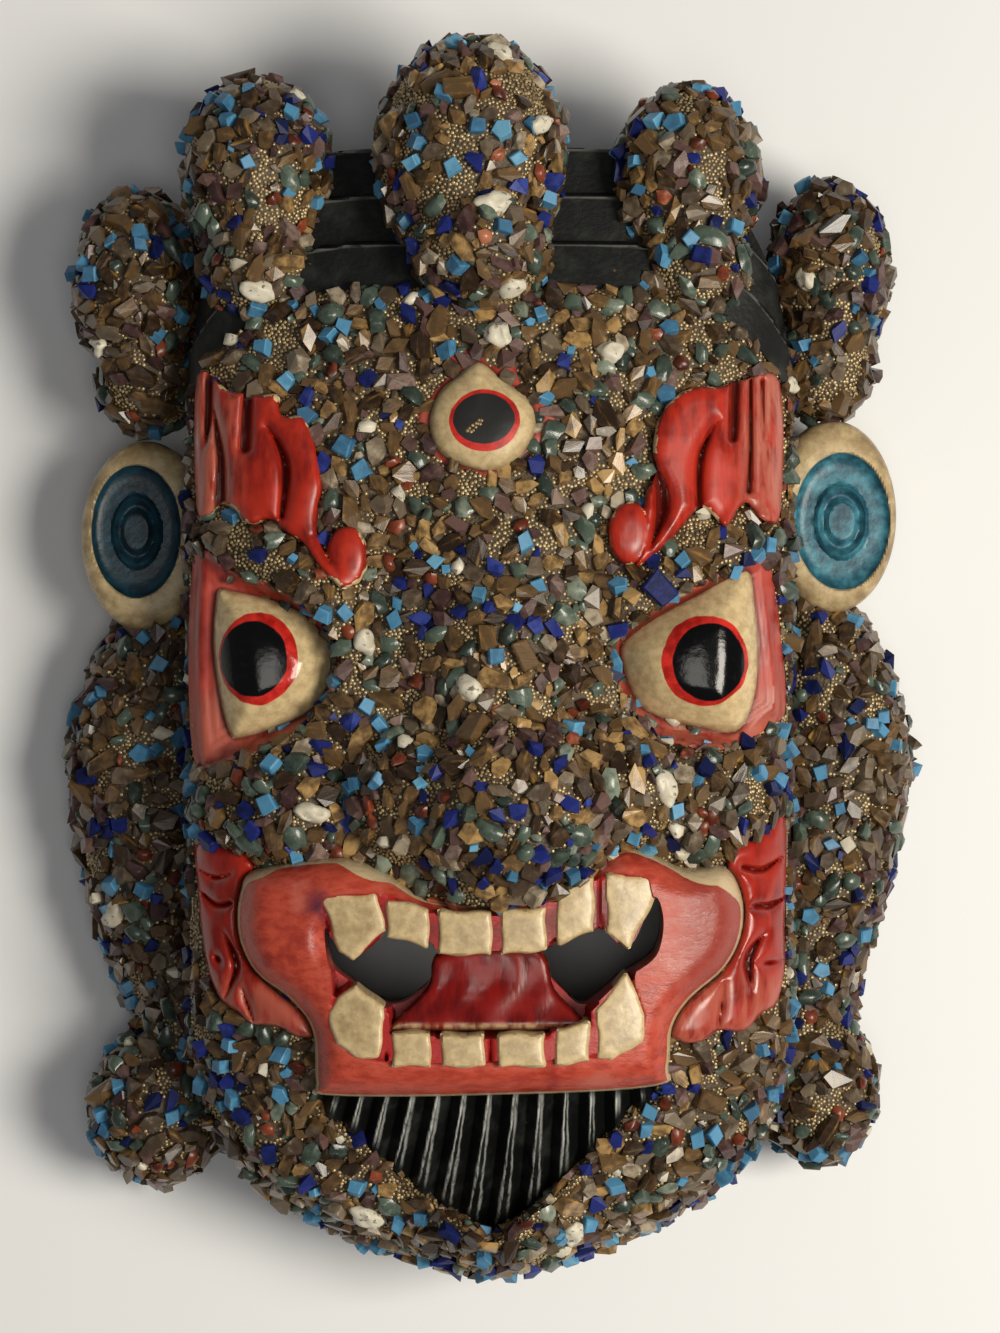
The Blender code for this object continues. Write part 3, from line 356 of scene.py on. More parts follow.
def depth_inside(x, y, points, smooth=True):
    """Distance in from a closed outline, negative outside it and no less than -FAR."""
    line = curve_through(points) if smooth else np.array(points, float)
    depth = np.full(np.shape(x), -FAR)
    close = near(x, y, line)
    px, py = x[close], y[close]
    inside = np.zeros(px.shape, bool)
    for (ax, ay), (bx, by) in zip(line, np.roll(line, -1, axis=0)):
        if ay != by:
            crosses = (ay > py) != (by > py)
            inside ^= crosses & (px < ax + (bx - ax) * (py - ay) / (by - ay))
    depth[close] = np.where(inside, 1, -1) * distance_to_line(px, py, line, closed=True)
    return depth


def depth_inside_oval(x, y, cx, cy, half_width, half_height):
    share = np.hypot((x - cx) / half_width, (y - cy) / half_height)
    return (1 - share) * min(half_width, half_height)


def within(outline):
    """Distance in from an outline, as a function of a place."""
    return lambda x, y: depth_inside(x, y, outline)


def oval_share(oval):
    """0 in the middle of an oval and 1 at its edge, as a function of a place."""
    return lambda x, y: 1 - depth_inside_oval(x, y, *oval) / min(oval[2:])


def flat_at(height):
    """The same height at every place."""
    return lambda x, y: np.full(np.shape(x), height)


# Blends and profiles

def smooth_max(a, b, blend):
    """The higher of two surfaces, with a fillet where they cross."""
    share = np.clip(0.5 + 0.5 * (a - b) / blend, 0, 1)
    return b + (a - b) * share + blend * share * (1 - share)


def rounded(depth, radius):
    """0 at an edge, rising as a quarter round to 1 at the radius."""
    share = np.clip(depth / radius, 0, 1)
    return np.sqrt(share * (2 - share))


def swelling(depth, radius):
    """0 at an edge, rising as a shallow dome to 1 at the radius."""
    share = np.clip(depth / radius, 0, 1)
    return share * (2 - share)


def soft_step(depth, width):
    """0 to 1 over a width that is centred on an edge."""
    share = np.clip(depth / width + 0.5, 0, 1)
    return share * share * (3 - 2 * share)


def hump(distance, half_width):
    """1 on a line, falling smoothly to 0 at the half width."""
    share = np.clip(distance / half_width, 0, 1)
    return (1 - share * share) ** 2


def dome(x, y, cx, cy, half_width, half_length):
    """1 over the middle of an oval, falling as a ball does to 0 at its edge; and where it is."""
    share = ((x - cx) / half_width) ** 2 + ((y - cy) / half_length) ** 2
    return np.sqrt(np.clip(1 - share, 0, 1)), share < 1 + EDGE_REACH / half_width


# The wood under the crust

def head_outline():
    line = curve_through(HALF_WIDTH, closed=False)
    right = np.column_stack([line[:, 1], line[:, 0]])
    left = np.column_stack([-line[::-1, 1], line[::-1, 0]])[1:-1]
    return np.concatenate([right, left])


def head_depth(x, y):
    """Distance in from the plain head's outline."""
    return depth_inside(x, y, head_outline(), smooth=False)


def wood_depth(x, y):
    """Distance in from the head's wooden wall, which leaves room for the chips round it."""
    return head_depth(x, y) - CHIP_ROOM


def lock_depth(x, y, outline):
    return depth_inside(x, y, outline) - CHIP_ROOM


def vault(x, y):
    """The plain face: a cross vault between the two side walls."""
    share = np.clip(np.abs(x) / np.maximum(along(HALF_WIDTH, y), 1), 0, 1)
    side = along(SIDE_HEIGHT, y)
    return side + (along(MIDDLE_HEIGHT, y) - side) * np.sqrt(1 - share ** VAULT_POWER)


def band_place(x, y):
    """Distance up from the lower edge of the headband, which drops at the temples."""
    aside = np.clip(np.abs(x) / BAND_REACH, 0, BAND_LIMIT)
    return y - BAND_EDGE + BAND_SIDE_DROP * aside ** BAND_POWER


def by_side(x):
    """0 over the face, rising to 1 where the painted forms turn down the side walls."""
    return soft_step(np.abs(x) - SIDE_TURN, SIDE_TURN_WIDTH)


def ragged(x, y):
    """A small hand-cut unevenness of an edge."""
    drift = np.sin(x / RAGGED_DRIFT)
    waves = np.sin(x / RAGGED_LENGTH) * np.sin(y / RAGGED_LENGTH + drift)
    return RAGGED * waves * (1 - by_side(x))


def plain_face(x, y):
    """The face without its painted forms: bridge, nose, cheeks, brow bones and chin roll."""
    z = vault(x, y)
    z = z + along(BRIDGE_RISE, y) * hump(np.abs(x - BRIDGE_MIDDLE), BRIDGE_WIDTH)
    for cx, cy, half_width, half_length, rise in CHEEKS:
        share, _ = dome(x, y, cx, cy, half_width, half_length)
        z = z + rise * share ** CHEEK_POWER
    for line in BROW_BONES:
        beside = distance_to_line(x, y, curve_through(line, closed=False))
        z = z + BONE_RISE * hump(beside, BONE_WIDTH)
    for cx, cy, half_width, half_length, top in NOSE:
        share, inside = dome(x, y, cx, cy, half_width, half_length)
        ball = top - half_width + half_width * share
        z = np.where(inside, smooth_max(z, ball, NOSE_BLEND), z)
    low = np.clip((CHIN_ROLL_TOP - y) / CHIN_ROLL_FADE, 0, 1)
    roll = hump(np.abs(head_depth(x, y) - CHIN_ROLL_WIDTH), CHIN_ROLL_WIDTH)
    return z + CHIN_ROLL_RISE * low * roll


def socket(side, x, y):
    """The level that an eye is cut down to, turned a little outwards."""
    middle, _ = np.mean(EYEBALLS[side], axis=0)
    turned = EYE_TURN * (np.hypot(x - middle, EYE_CREASE) - EYE_CREASE)
    return vault(np.full(np.shape(x), middle), y) - turned - LID_DEPTH


def brow_depth(side, x, y):
    return np.maximum(depth_inside(x, y, BROWS[side]), depth_inside_oval(x, y, *CURLS[side]))


def seats(x, y, face):
    """Distance into each painted form, and the level that its seat is cut down to."""
    opening = depth_inside(x, y, OPEN_MOUTH)
    yield band_place(x, y), vault(x, y) - SEAT
    for side in (0, 1):
        yield brow_depth(side, x, y), face - SEAT
        yield depth_inside(x, y, LIDS[side]), socket(side, x, y) - SEAT
        yield depth_inside(x, y, SIDE_FLAMES[side]), vault(x, y) - SEAT
    yield depth_inside(x, y, THIRD_EYE), face - SEAT
    yield depth_inside(x, y, LIPS), np.where(opening > 0, MOUTH_FLOOR, vault(x, y)) - SEAT
    yield depth_inside(x, y, BEARD), vault(x, y) - BEARD_DEPTH - SEAT


def painted_depth(places):
    """Distance into the painted carving, which has no crust; negative on the crust."""
    x, y, z = places.T
    outlines = [*LIDS, *BROWS, *SIDE_FLAMES, THIRD_EYE, LIPS, BEARD]
    depths = [depth_inside(x, y, outline) for outline in outlines]
    depths += [depth_inside_oval(x, y, *oval) for oval in CURLS]
    above = z - vault(x * WALL_INSET, y) + WALL_DROP
    depth = np.minimum(np.max(depths, axis=0), above)
    depth = np.maximum(depth, np.where(head_depth(x, y) > -BAND_OVERHANG, band_place(x, y), -FAR))
    for cx, cy, half_width, half_length, middle, half_depth in sum(CROWN_FORMS, []):
        beside = -depth_inside_oval(x, y, cx, cy, half_width, half_length)
        share, _ = dome(x, y, cx, cy, half_width, half_length)
        on_knob = z > middle - half_depth * share - KNOB_SEAT
        depth = np.minimum(depth, np.where(on_knob, beside, FAR))
    return depth


def ground_height(x, y):
    """The front of the wood with its paste, cut down under each painted form."""
    face = plain_face(x, y)
    z = face + PASTE
    for inside, level in seats(x, y, face):
        z = np.where(inside > 0, np.minimum(z, level), z)
    z = np.where(wood_depth(x, y) > -SNAP, z, 0)
    for outline in LOCKS:
        inside = lock_depth(x, y, outline)
        lock = LOCK_EDGE + (LOCK_HEIGHT - LOCK_EDGE) * rounded(inside, LOCK_ROUNDING)
        z = np.where(inside > -EDGE_REACH, np.maximum(z, lock), z)
    for knob in KNOBS:
        top = np.full(np.shape(x), -FAR)
        for cx, cy, half_width, half_length, middle, half_depth in knob:
            share, inside = dome(x, y, cx, cy, half_width, half_length)
            form = np.where(inside, middle + half_depth * share, -FAR)
            top = smooth_max(top, form, KNOB_BLEND)
        z = smooth_max(z, top, KNOB_SEAT)
    return np.maximum(z, EDGE_THICKNESS)


def back_height(x, y, front):
    """A flat rim round the hollow, and rounded undersides beyond the head."""
    head = wood_depth(x, y)
    outer = np.full(np.shape(x), FAR * 2)
    forms = [form for knob in KNOBS for form in knob]
    for cx, cy, half_width, half_length, middle, half_depth in forms:
        share, inside = dome(x, y, cx, cy, half_width, half_length)
        outer = np.where(inside, np.minimum(outer, middle - half_depth * share), outer)
    for outline in LOCKS:
        inside = lock_depth(x, y, outline)
        under = LOCK_UNDERCUT * (1 - rounded(inside, LOCK_UNDERCUT))
        outer = np.where(inside > -EDGE_REACH, np.minimum(outer, under), outer)
    hollow = HOLLOW_DEPTH * rounded(head + CHIP_ROOM - RIM_WIDTH, HOLLOW_ROUNDING)
    hollow = np.maximum(np.minimum(hollow, front - WALL), 0)
    outer = np.clip(outer, 0, front - EDGE_THICKNESS)
    return np.where(head > -SNAP, hollow, outer)


def gap_depth(x, y):
    return np.max([depth_inside(x, y, outline) for outline in MOUTH_GAPS], axis=0)


def ground_depth(x, y):
    """Distance in from the wood's outline and from the mouth gaps, which are cut a little wide."""
    depths = [wood_depth(x, y)]
    depths += [lock_depth(x, y, outline) for outline in LOCKS]
    depths += [depth_inside_oval(x, y, *form[:4]) for knob in KNOBS for form in knob]
    return np.minimum(np.max(depths, axis=0), -gap_depth(x, y) - GAP_MARGIN)


# Sheets and solids

def snapped(x, y, depth_of, reach):
    """Points within reach of a line where a depth is nought, moved onto it."""
    for _ in range(3):
        depth = depth_of(x, y)
        slope_x = (depth_of(x + SNAP, y) - depth_of(x - SNAP, y)) / (2 * SNAP)
        slope_y = (depth_of(x, y + SNAP) - depth_of(x, y - SNAP)) / (2 * SNAP)
        steepness = np.maximum(slope_x ** 2 + slope_y ** 2, FLATTEST)
        pull = np.where(np.abs(depth) < reach, depth, 0) / steepness
        x, y = x - pull * slope_x, y - pull * slope_y
    return x, y


def plan_places(vertices):
    places = np.array([vertex.co[:2] for vertex in vertices])
    return places[:, 0], places[:, 1]


def drawn_onto(sheet, vertices, depth_of, reach):
    """Some of a sheet's points, where they are within reach of a line, moved onto it."""
    x, y = snapped(*plan_places(vertices), depth_of, reach)
    for vertex, *place in zip(vertices, x, y):
        vertex.co.xy = place
    return sheet


def inner_points(sheet):
    return [vertex for vertex in sheet.verts if not vertex.is_boundary]


def sheet_inside(depth_of, low, high, step):
    """A flat sheet of squares inside an outline, its edge drawn onto the outline."""
    sheet = bmesh.new()
    half_x, half_y = (high[0] - low[0]) / 2 + step, (high[1] - low[1]) / 2 + step
    middle = ((high[0] + low[0]) / 2, (high[1] + low[1]) / 2, 0)
    place = Matrix.Translation(middle) @ Matrix.Diagonal((half_x, half_y, 1, 1))
    columns, rows = round(2 * half_x / step), round(2 * half_y / step)
    bmesh.ops.create_grid(sheet, x_segments=columns, y_segments=rows, size=1, matrix=place)
    centres = np.array([face.calc_center_median()[:2] for face in sheet.faces])
    outside = depth_of(centres[:, 0], centres[:, 1]) <= 0
    faces = [face for face, out in zip(sheet.faces, outside) if out]
    bmesh.ops.delete(sheet, geom=faces, context="FACES")
    while pinches := [vertex for vertex in sheet.verts if not vertex.is_manifold]:
        faces = list(dict.fromkeys(face for vertex in pinches for face in vertex.link_faces))
        bmesh.ops.delete(sheet, geom=faces, context="FACES")
    edge = [vertex for vertex in sheet.verts if vertex.is_boundary]
    return drawn_onto(sheet, edge, depth_of, 2 * step)


def closed_between(sheet, top_of, bottom_of):
    """The sheet doubled into a closed solid between two heights, always in the same order."""
    sheet.verts.index_update()
    x, y = plan_places(sheet.verts)
    solid = bmesh.new()
    front = [solid.verts.new(place) for place in zip(x, y, top_of(x, y))]
    back = [solid.verts.new(place) for place in zip(x, y, bottom_of(x, y))]
    for face in sheet.faces:
        corners = [vertex.index for vertex in face.verts]
        solid.faces.new([front[i] for i in corners])
        solid.faces.new([back[i] for i in reversed(corners)])
    for edge in sheet.edges:
        if edge.is_boundary:
            loop = edge.link_loops[0]
            a, b = loop.vert.index, loop.link_loop_next.vert.index
            solid.faces.new([front[b], front[a], back[a], back[b]])
    sheet.free()
    bmesh.ops.triangulate(solid, faces=list(solid.faces), quad_method="SHORT_EDGE")
    return solid


def corners_of(*lines):
    points = np.concatenate([np.array(line, float).reshape(-1, 2) for line in lines])
    return points.min(axis=0), points.max(axis=0)


def box_of(outline):
    return corners_of(curve_through(outline))


def oval_corners(cx, cy, half_width, half_height, *_):
    return [(cx - half_width, cy - half_height), (cx + half_width, cy + half_height)]


def layout_shift():
    """How far the layout lies from the row's frame, along X and Y."""
    lines = [head_outline(), *[curve_through(outline) for outline in LOCKS]]
    lines += [oval_corners(*panel) for panel, _ in EARS]
    lines += [oval_corners(*form) for knob in [*CROWN_KNOBS, *LOCK_KNOBS] for form in knob]
    low, high = corners_of(*lines)
    box_low, box_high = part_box("carved_mask")
    return ((box_low + box_high) / 2).xy / MM - Vector((low + high) / 2)


SHIFT = layout_shift()


def add_piece(name, mesh, finish, slot, replaced=("carved_mask",)):
    """Put a mesh that is in layout millimetres into the row's frame, as a piece of the mask."""
    mesh.transform(Matrix.Scale(MM, 4) @ Matrix.Translation((*SHIFT, 0)))
    mesh.materials.clear()
    mesh.materials.append(finish)
    piece = bpy.data.objects.new(name, mesh)
    bpy.context.scene.collection.objects.link(piece)
    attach(piece, "root")
    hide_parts(*replaced)
    return piece


def add_measure(mesh, name, values):
    """Keep a measure for each vertex, which the paint is laid out by."""
    values = np.asarray(values, np.float32)
    kind = "FLOAT" if values.ndim == 1 else "FLOAT_VECTOR"
    attribute = mesh.attributes.new(name, kind, "POINT")
    attribute.data.foreach_set("value" if values.ndim == 1 else "vector", values.ravel())


def mesh_places(mesh):
    places = np.empty(len(mesh.vertices) * 3, np.float32)
    mesh.vertices.foreach_get("co", places)
    return places.reshape(-1, 3).astype(float)


def smooth_mesh(name, solid, sharp):
    """A mesh of a solid, shaded smooth apart from the edges that are sharper than an angle."""
    mesh = bpy.data.meshes.new(name)
    solid.to_mesh(mesh)
    solid.free()
    mesh.shade_smooth()
    mesh.set_sharp_from_angle(angle=math.radians(sharp))
    return mesh


def relief(name, depth_of, corners, step, top_of, bottom_of, finish, slot, sharp=40, crease=None,
           **measures):
    """A painted form: a fine closed solid over its outline, with its paint's measures."""
    sheet = sheet_inside(depth_of, *corners, step)
    if crease:
        drawn_onto(sheet, inner_points(sheet), crease, CREASE_SHARE * step)
    mesh = smooth_mesh(name, closed_between(sheet, top_of, bottom_of), sharp)
    x, y, z = mesh_places(mesh).T
    add_measure(mesh, "down", top_of(x, y) - z)
    for measure, measure_of in measures.items():
        add_measure(mesh, measure, measure_of(x, y))
    return add_piece(name, mesh, finish, slot)


# Paint

class Paint:
    """A material in the making. Most methods add a node or more and give what comes out."""

    def __init__(self, name, colour, **plain):
        self.finish = bpy.data.materials.new(name)
        self.finish.use_nodes = True
        self.finish.diffuse_color = (*colour, 1)
        self.tree = self.finish.node_tree
        self.shader = self.tree.nodes["Principled BSDF"]
        self.shader.inputs["Base Color"].default_value = (*colour, 1)
        for socket_name, value in plain.items():
            self.shader.inputs[socket_name.replace("_", " ")].default_value = value

    def node(self, kind, output=0, inputs=None, **settings):
        made = self.tree.nodes.new("ShaderNode" + kind)
        for key, value in settings.items():
            setattr(made, key, value)
        for key, value in (inputs or {}).items():
            if isinstance(value, bpy.types.NodeSocket):
                self.tree.links.new(value, made.inputs[key])
            else:
                made.inputs[key].default_value = value
        return made.outputs[output]

    def measure(self, name):
        return self.node("Attribute", output=2, attribute_name=name)

    def spots(self, size, detail=4.0, roughness=0.55, stretch=(1, 1, 1), place=None):
        """Noise whose features are about a size in millimetres, stretched along the axes."""
        place = place or self.node("TexCoord", output=3)
        scale = tuple(1 / (size * MM * share) for share in stretch)
        place = self.node("Mapping", inputs={"Vector": place, "Scale": scale})
        inputs = {"Vector": place, "Scale": 1, "Detail": detail, "Roughness": roughness}
        return self.node("TexNoise", inputs=inputs)

    def mix(self, share, a, b):
        """One colour changing to another as a share goes from 0 to 1."""
        a, b = [(*c, 1) if isinstance(c, tuple) else c for c in (a, b)]
        return self.node("Mix", output=2, inputs={0: share, 6: a, 7: b}, data_type="RGBA")

    def step(self, value, low, high, start=0.0, end=1.0):
        """A smooth change from start to end as a value goes from low to high."""
        inputs = {"Value": value, "From Min": low, "From Max": high, "To Min": start, "To Max": end}
        return self.node("MapRange", inputs=inputs, interpolation_type="SMOOTHSTEP")

    def fade(self, value, low, high, a, b, start=0.0, end=1.0):
        """One colour changing to another, by a step of a value."""
        return self.mix(self.step(value, low, high, start, end), a, b)

    def work(self, how, a, b=0.0):
        return self.node("Math", inputs={0: a, 1: b}, operation=how)

    def times(self, a, b):
        return self.work("MULTIPLY", a, b)

    def plus(self, a, b):
        return self.work("ADD", a, b)

    def on_front(self, near=0.8, deep=2.2):
        """1 on the front of a painted form, falling to 0 down its sides."""
        return self.step(self.measure("down"), near, deep, start=1.0, end=0.0)

    def put(self, value, socket_name):
        self.tree.links.new(value, self.shader.inputs[socket_name])

    def done(self, colour, height=None, distance=0.0, strength=1.0):
        """The finished material, with a colour and a bump of a depth in millimetres."""
        self.put(colour, "Base Color")
        if height is not None:
            inputs = {"Height": height, "Distance": distance * MM, "Strength": strength}
            self.put(self.node("Bump", inputs=inputs), "Normal")
        return self.finish


RED, DEEP_RED, DARK_RED = (0.47, 0.026, 0.010), (0.20, 0.009, 0.005), (0.075, 0.007, 0.005)
SALMON, ROSE = (0.50, 0.070, 0.038), (0.44, 0.13, 0.085)
CREAM, TAN, UMBER = (0.65, 0.50, 0.275), (0.45, 0.31, 0.15), (0.17, 0.10, 0.04)
CHARCOAL = (0.016, 0.017, 0.017)
BLUE, DEEP_BLUE, DARK_BLUE = (0.055, 0.23, 0.30), (0.010, 0.060, 0.095), (0.003, 0.020, 0.032)


def wood_finish():
    """Dark plain wood at the back, and brown sandy paste where the stones are set."""
    paint = Paint("wood_and_paste", UMBER, Roughness=0.55)
    paste = paint.measure("paste")
    sand = paint.spots(1.1, detail=6)
    patches = paint.spots(14)
    brown = paint.fade(sand, 0.35, 0.7, (0.042, 0.029, 0.017), (0.155, 0.105, 0.056))
    brown = paint.fade(patches, 0.4, 0.65, brown, (0.068, 0.047, 0.027))
    grain = paint.spots(2.2, detail=6, stretch=(1, 14, 1))
    wood = paint.fade(grain, 0.3, 0.7, (0.028, 0.017, 0.011), (0.085, 0.052, 0.031))
    wood = paint.fade(patches, 0.35, 0.75, wood, (0.035, 0.024, 0.017))
    height = paint.node("Mix", inputs={0: paste, 2: grain, 3: sand})
    return paint.done(paint.mix(paste, wood, brown), height, 0.7, 0.8)


def lacquer_finish(name, bright=RED, deep=DEEP_RED, dust=ROSE, gloss=0.24):
    """Brushed lacquer: darkened in the folds as painted shade, dusty in places, and chipped to the
    gesso at edges.
    """
    paint = Paint(name, bright, Roughness=gloss, Specular_IOR_Level=0.45)
    streaks = paint.spots(3.0, detail=6, stretch=(1, 5, 1))
    clouds = paint.spots(13, detail=3)
    colour = paint.fade(streaks, 0.32, 0.72, deep, bright)
    colour = paint.fade(clouds, 0.42, 0.68, colour, bright)
    dusty = paint.times(paint.measure("dust"), paint.step(streaks, 0.3, 0.6))
    colour = paint.mix(dusty, colour, dust)
    # Painted shade: dark red within the folds and the recessed edges that the fold measure marks
    colour = paint.fade(paint.measure("fold"), 0.0, 0.8, colour, DARK_RED, start=0.85, end=0.0)
    chipping = paint.times(paint.spots(1.7, detail=3), paint.step(clouds, 0.47, 0.6, end=2.4))
    edge = paint.work("SUBTRACT", paint.measure("edge"), chipping)
    chipped = paint.step(edge, -0.35, -0.25, start=1.0, end=0.0)
    colour = paint.mix(paint.times(chipped, paint.on_front()), colour, CREAM)
    paint.put(paint.step(clouds, 0.3, 0.7, start=gloss, end=gloss + 0.2), "Roughness")
    return paint.done(colour, streaks, 0.25, 0.5)


def lip_finish():
    """Salmon paint with brush streaks, and a tan line left along the outer edge."""
    paint = Paint("lip_paint", SALMON, Roughness=0.3, Specular_IOR_Level=0.4)
    streaks = paint.spots(2.6, detail=8, roughness=0.65, stretch=(2.4, 1, 1))
    clouds = paint.spots(13, detail=5)
    colour = paint.fade(streaks, 0.36, 0.62, (0.36, 0.042, 0.024), SALMON)
    specks = paint.spots(1.5, detail=2)
    colour = paint.fade(specks, 0.70, 0.78, colour, (0.10, 0.025, 0.015), end=0.4)
    colour = paint.fade(clouds, 0.5, 0.75, colour, (0.50, 0.12, 0.085))
    colour = paint.fade(clouds, 0.44, 0.30, colour, (0.30, 0.028, 0.018))
    colour = paint.fade(paint.measure("cavity"), 0.6, 1.8, colour, (0.36, 0.016, 0.014))
    # Painted shade: nearly black red deeper in the mouth and up towards the upper teeth
    colour = paint.fade(paint.measure("shade"), 0.0, 1.0, colour, (0.045, 0.012, 0.012))
    # Painted shade: darker red over the right of the lips
    colour = paint.mix(paint.measure("aged"), colour, (0.25, 0.040, 0.030))
    # A dark purple patch at the left corner of the mouth, broken up by clouds
    smudge = paint.times(paint.measure("smudge"), paint.step(clouds, 0.3, 0.6))
    colour = paint.mix(smudge, colour, (0.085, 0.010, 0.028))
    rim = paint.plus(paint.measure("rim"), paint.times(paint.spots(2.5), 0.25))
    line = paint.step(rim, 1.05, 1.16, start=1.0, end=0.0)
    line = paint.times(line, paint.on_front(near=1.2, deep=3.0))
    colour = paint.mix(line, colour, (0.55, 0.42, 0.25))
    paint.put(paint.step(streaks, 0.3, 0.7, start=0.24, end=0.42), "Roughness")
    return paint.done(colour, streaks, 0.5, 0.7)


def cream_colour(paint, low, high, start, end):
    """Old cream paint, mottled, with a brown wash that changes with the distance from the edge."""
    mottling = paint.spots(2.8, detail=8, roughness=0.65)
    colour = paint.fade(mottling, 0.36, 0.62, (0.48, 0.355, 0.185), CREAM)
    wash = paint.step(paint.measure("edge"), low, high, start, end)
    washed = paint.times(wash, paint.step(paint.spots(6, detail=5), 0.25, 0.7))
    return paint.mix(washed, colour, UMBER)


def tooth_finish():
    """Cream paint, rubbed clean along the edges, with a brown wash left within them."""
    paint = Paint("tooth_paint", CREAM, Roughness=0.34)
    colour = cream_colour(paint, 0.5, 3.5, start=0.0, end=0.5)
    return paint.done(colour, paint.spots(1.6, detail=5), 0.2, 0.5)


def eye_finish(name, gloss=0.13, black=(0.0015, 0.0015, 0.002)):
    """A painted eye: cream white, a red ring and a dark glossy pupil, edged by hand."""
    paint = Paint(name, CREAM, Roughness=gloss, Specular_IOR_Level=0.35)
    colour = cream_colour(paint, 0.0, 2.5, start=0.6, end=0.1)
    red = paint.fade(paint.spots(4), 0.35, 0.65, (0.33, 0.012, 0.008), (0.60, 0.028, 0.020))
    worn = paint.fade(paint.spots(3, detail=8), 0.55, 0.8, black, (0.016, 0.019, 0.018), end=0.4)
    shake = paint.times(paint.spots(7, detail=3), 0.12)
    for part, inner, tone in (("ring", 1.045, red), ("pupil", 1.04, worn)):
        place = paint.plus(paint.measure(part), shake)
        colour = paint.fade(place, inner, 1.075, colour, tone, start=1.0, end=0.0)
    return paint.done(colour, paint.spots(2.4, detail=5), 0.2, 0.4)


def tier_wear(paint):
    """Lighter along the upper edges of the headband's tiers: rubbed wear and a painted highlight.
    """
    rubbed = paint.times(paint.step(paint.measure("wear"), 0.35, 0.75), paint.on_front())
    scuffs = paint.spots(2.6, detail=6, stretch=(3, 1, 1))
    return paint.times(rubbed, paint.step(scuffs, 0.28, 0.55))


def strand_wear(paint):
    """Lighter along two thin lines beside the crest of each ridge of the beard: rubbed wear and a
    painted highlight, the right line of each pair fainter.
    """
    shake = paint.work("SUBTRACT", paint.spots(5), 0.5)
    place = paint.plus(paint.measure("place"), paint.times(shake, 0.12))
    from_crest = paint.work("PINGPONG", place, 0.5)
    apart = paint.work("SUBTRACT", from_crest, paint.measure("strand"))
    widths = paint.spots(6, detail=3, stretch=(1, 3, 1))
    reach = paint.step(widths, 0.35, 0.65, start=0.045, end=0.10)
    line = paint.step(paint.work("ABSOLUTE", apart), 0.008, reach, start=1.0, end=0.0)
    right = paint.work("FRACT", paint.plus(place, 0.5))
    strength = paint.step(right, 0.48, 0.52, start=1.0, end=0.5)
    scuffs = paint.spots(2.2, detail=8, roughness=0.7, stretch=(1, 5, 1))
    strength = paint.times(strength, paint.step(scuffs, 0.30, 0.54))
    inner = paint.step(paint.measure("edge"), 1.0, 5.0)
    return paint.times(line, paint.times(strength, inner))


def black_finish(name, gloss, wear_of, wear):
    """Black paint with a little dust, turned to another colour where it has worn and where a
    highlight is painted.
    """
    paint = Paint(name, CHARCOAL, Roughness=gloss, Specular_IOR_Level=0.25)
    black, dusty = (0.004, 0.0045, 0.0045), (0.020, 0.022, 0.020)
    colour = paint.fade(paint.spots(9, detail=6), 0.45, 0.75, black, dusty)
    # Lighter where the given measure marks worn paint and a painted highlight
    colour = paint.mix(wear_of(paint), colour, wear)
    return paint.done(colour, paint.spots(1.5, detail=6), 0.3, 0.6)


def ear_finish(name, *blues):
    """A cream ear plug with a blue dish in it."""
    paint = Paint(name, CREAM, Roughness=0.4)
    cream = cream_colour(paint, 0.0, 6.0, start=0.85, end=0.25)
    blue = paint.fade(paint.spots(5, detail=6), 0.35, 0.7, *blues)
    # Painted shade: darker blue where a crease measure is high, along the dish's edge and the
    # groove round the boss
    blue = paint.fade(paint.measure("crease"), 0.2, 1.0, blue, (0.006, 0.02, 0.035))
    border = paint.plus(paint.measure("dish"), paint.times(paint.spots(5), 0.5))
    colour = paint.fade(border, 0.22, 0.38, cream, blue)
    return paint.done(colour, paint.spots(1.8, detail=5), 0.3, 0.5)


def bead_finish():
    paint = Paint("brass_beads", (0.5, 0.36, 0.17), Metallic=0.35, Roughness=0.38)
    shade = paint.measure("shade")
    return paint.done(paint.fade(shade, 0, 1, (0.24, 0.165, 0.075), (0.54, 0.41, 0.215)))


# Stone: dark, middle and pale tones, streaks, gloss, size of the streaks, the range of noise that
# they fade in over, specular level, and stretch of the streaks
EVEN = (1, 1, 1)
STONE_PAINTS = {
    "tiger_eye": ((0.026, 0.014, 0.007), (0.125, 0.072, 0.030), (0.42, 0.26, 0.100),
                  (0.48, 0.26, 0.060), 0.26, 1.8, (0.55, 0.85), 0.5, (6, 1, 6)),
    "turquoise": ((0.035, 0.125, 0.23), (0.080, 0.26, 0.44), (0.15, 0.38, 0.56),
                  (0.04, 0.12, 0.17), 0.5, 2.5, (0.66, 0.80), 0.4, EVEN),
    "lapis": ((0.006, 0.010, 0.050), (0.015, 0.024, 0.160), (0.040, 0.060, 0.27),
              (0.08, 0.09, 0.22), 0.4, 2.2, (0.64, 0.88), 0.15, EVEN),
    "aventurine": ((0.024, 0.036, 0.028), (0.078, 0.108, 0.083), (0.23, 0.26, 0.20),
                   (0.29, 0.31, 0.24), 0.24, 1.6, (0.60, 0.85), 0.5, EVEN),
    "amethyst": ((0.040, 0.018, 0.018), (0.125, 0.070, 0.060), (0.28, 0.20, 0.165),
                 (0.28, 0.22, 0.19), 0.32, 2.4, (0.60, 0.85), 0.4, EVEN),
    "quartz": ((0.055, 0.036, 0.022), (0.165, 0.125, 0.084), (0.42, 0.35, 0.25),
               (0.44, 0.38, 0.28), 0.32, 3.0, (0.60, 0.85), 0.4, EVEN),
    "carnelian": ((0.060, 0.012, 0.006), (0.21, 0.045, 0.018), (0.42, 0.15, 0.08),
                  (0.45, 0.21, 0.12), 0.28, 3.0, (0.62, 0.88), 0.4, EVEN),
    "howlite": ((0.50, 0.45, 0.34), (0.66, 0.61, 0.49), (0.74, 0.70, 0.58),
                (0.16, 0.13, 0.09), 0.42, 2.0, (0.58, 0.68), 0.4, EVEN),
}


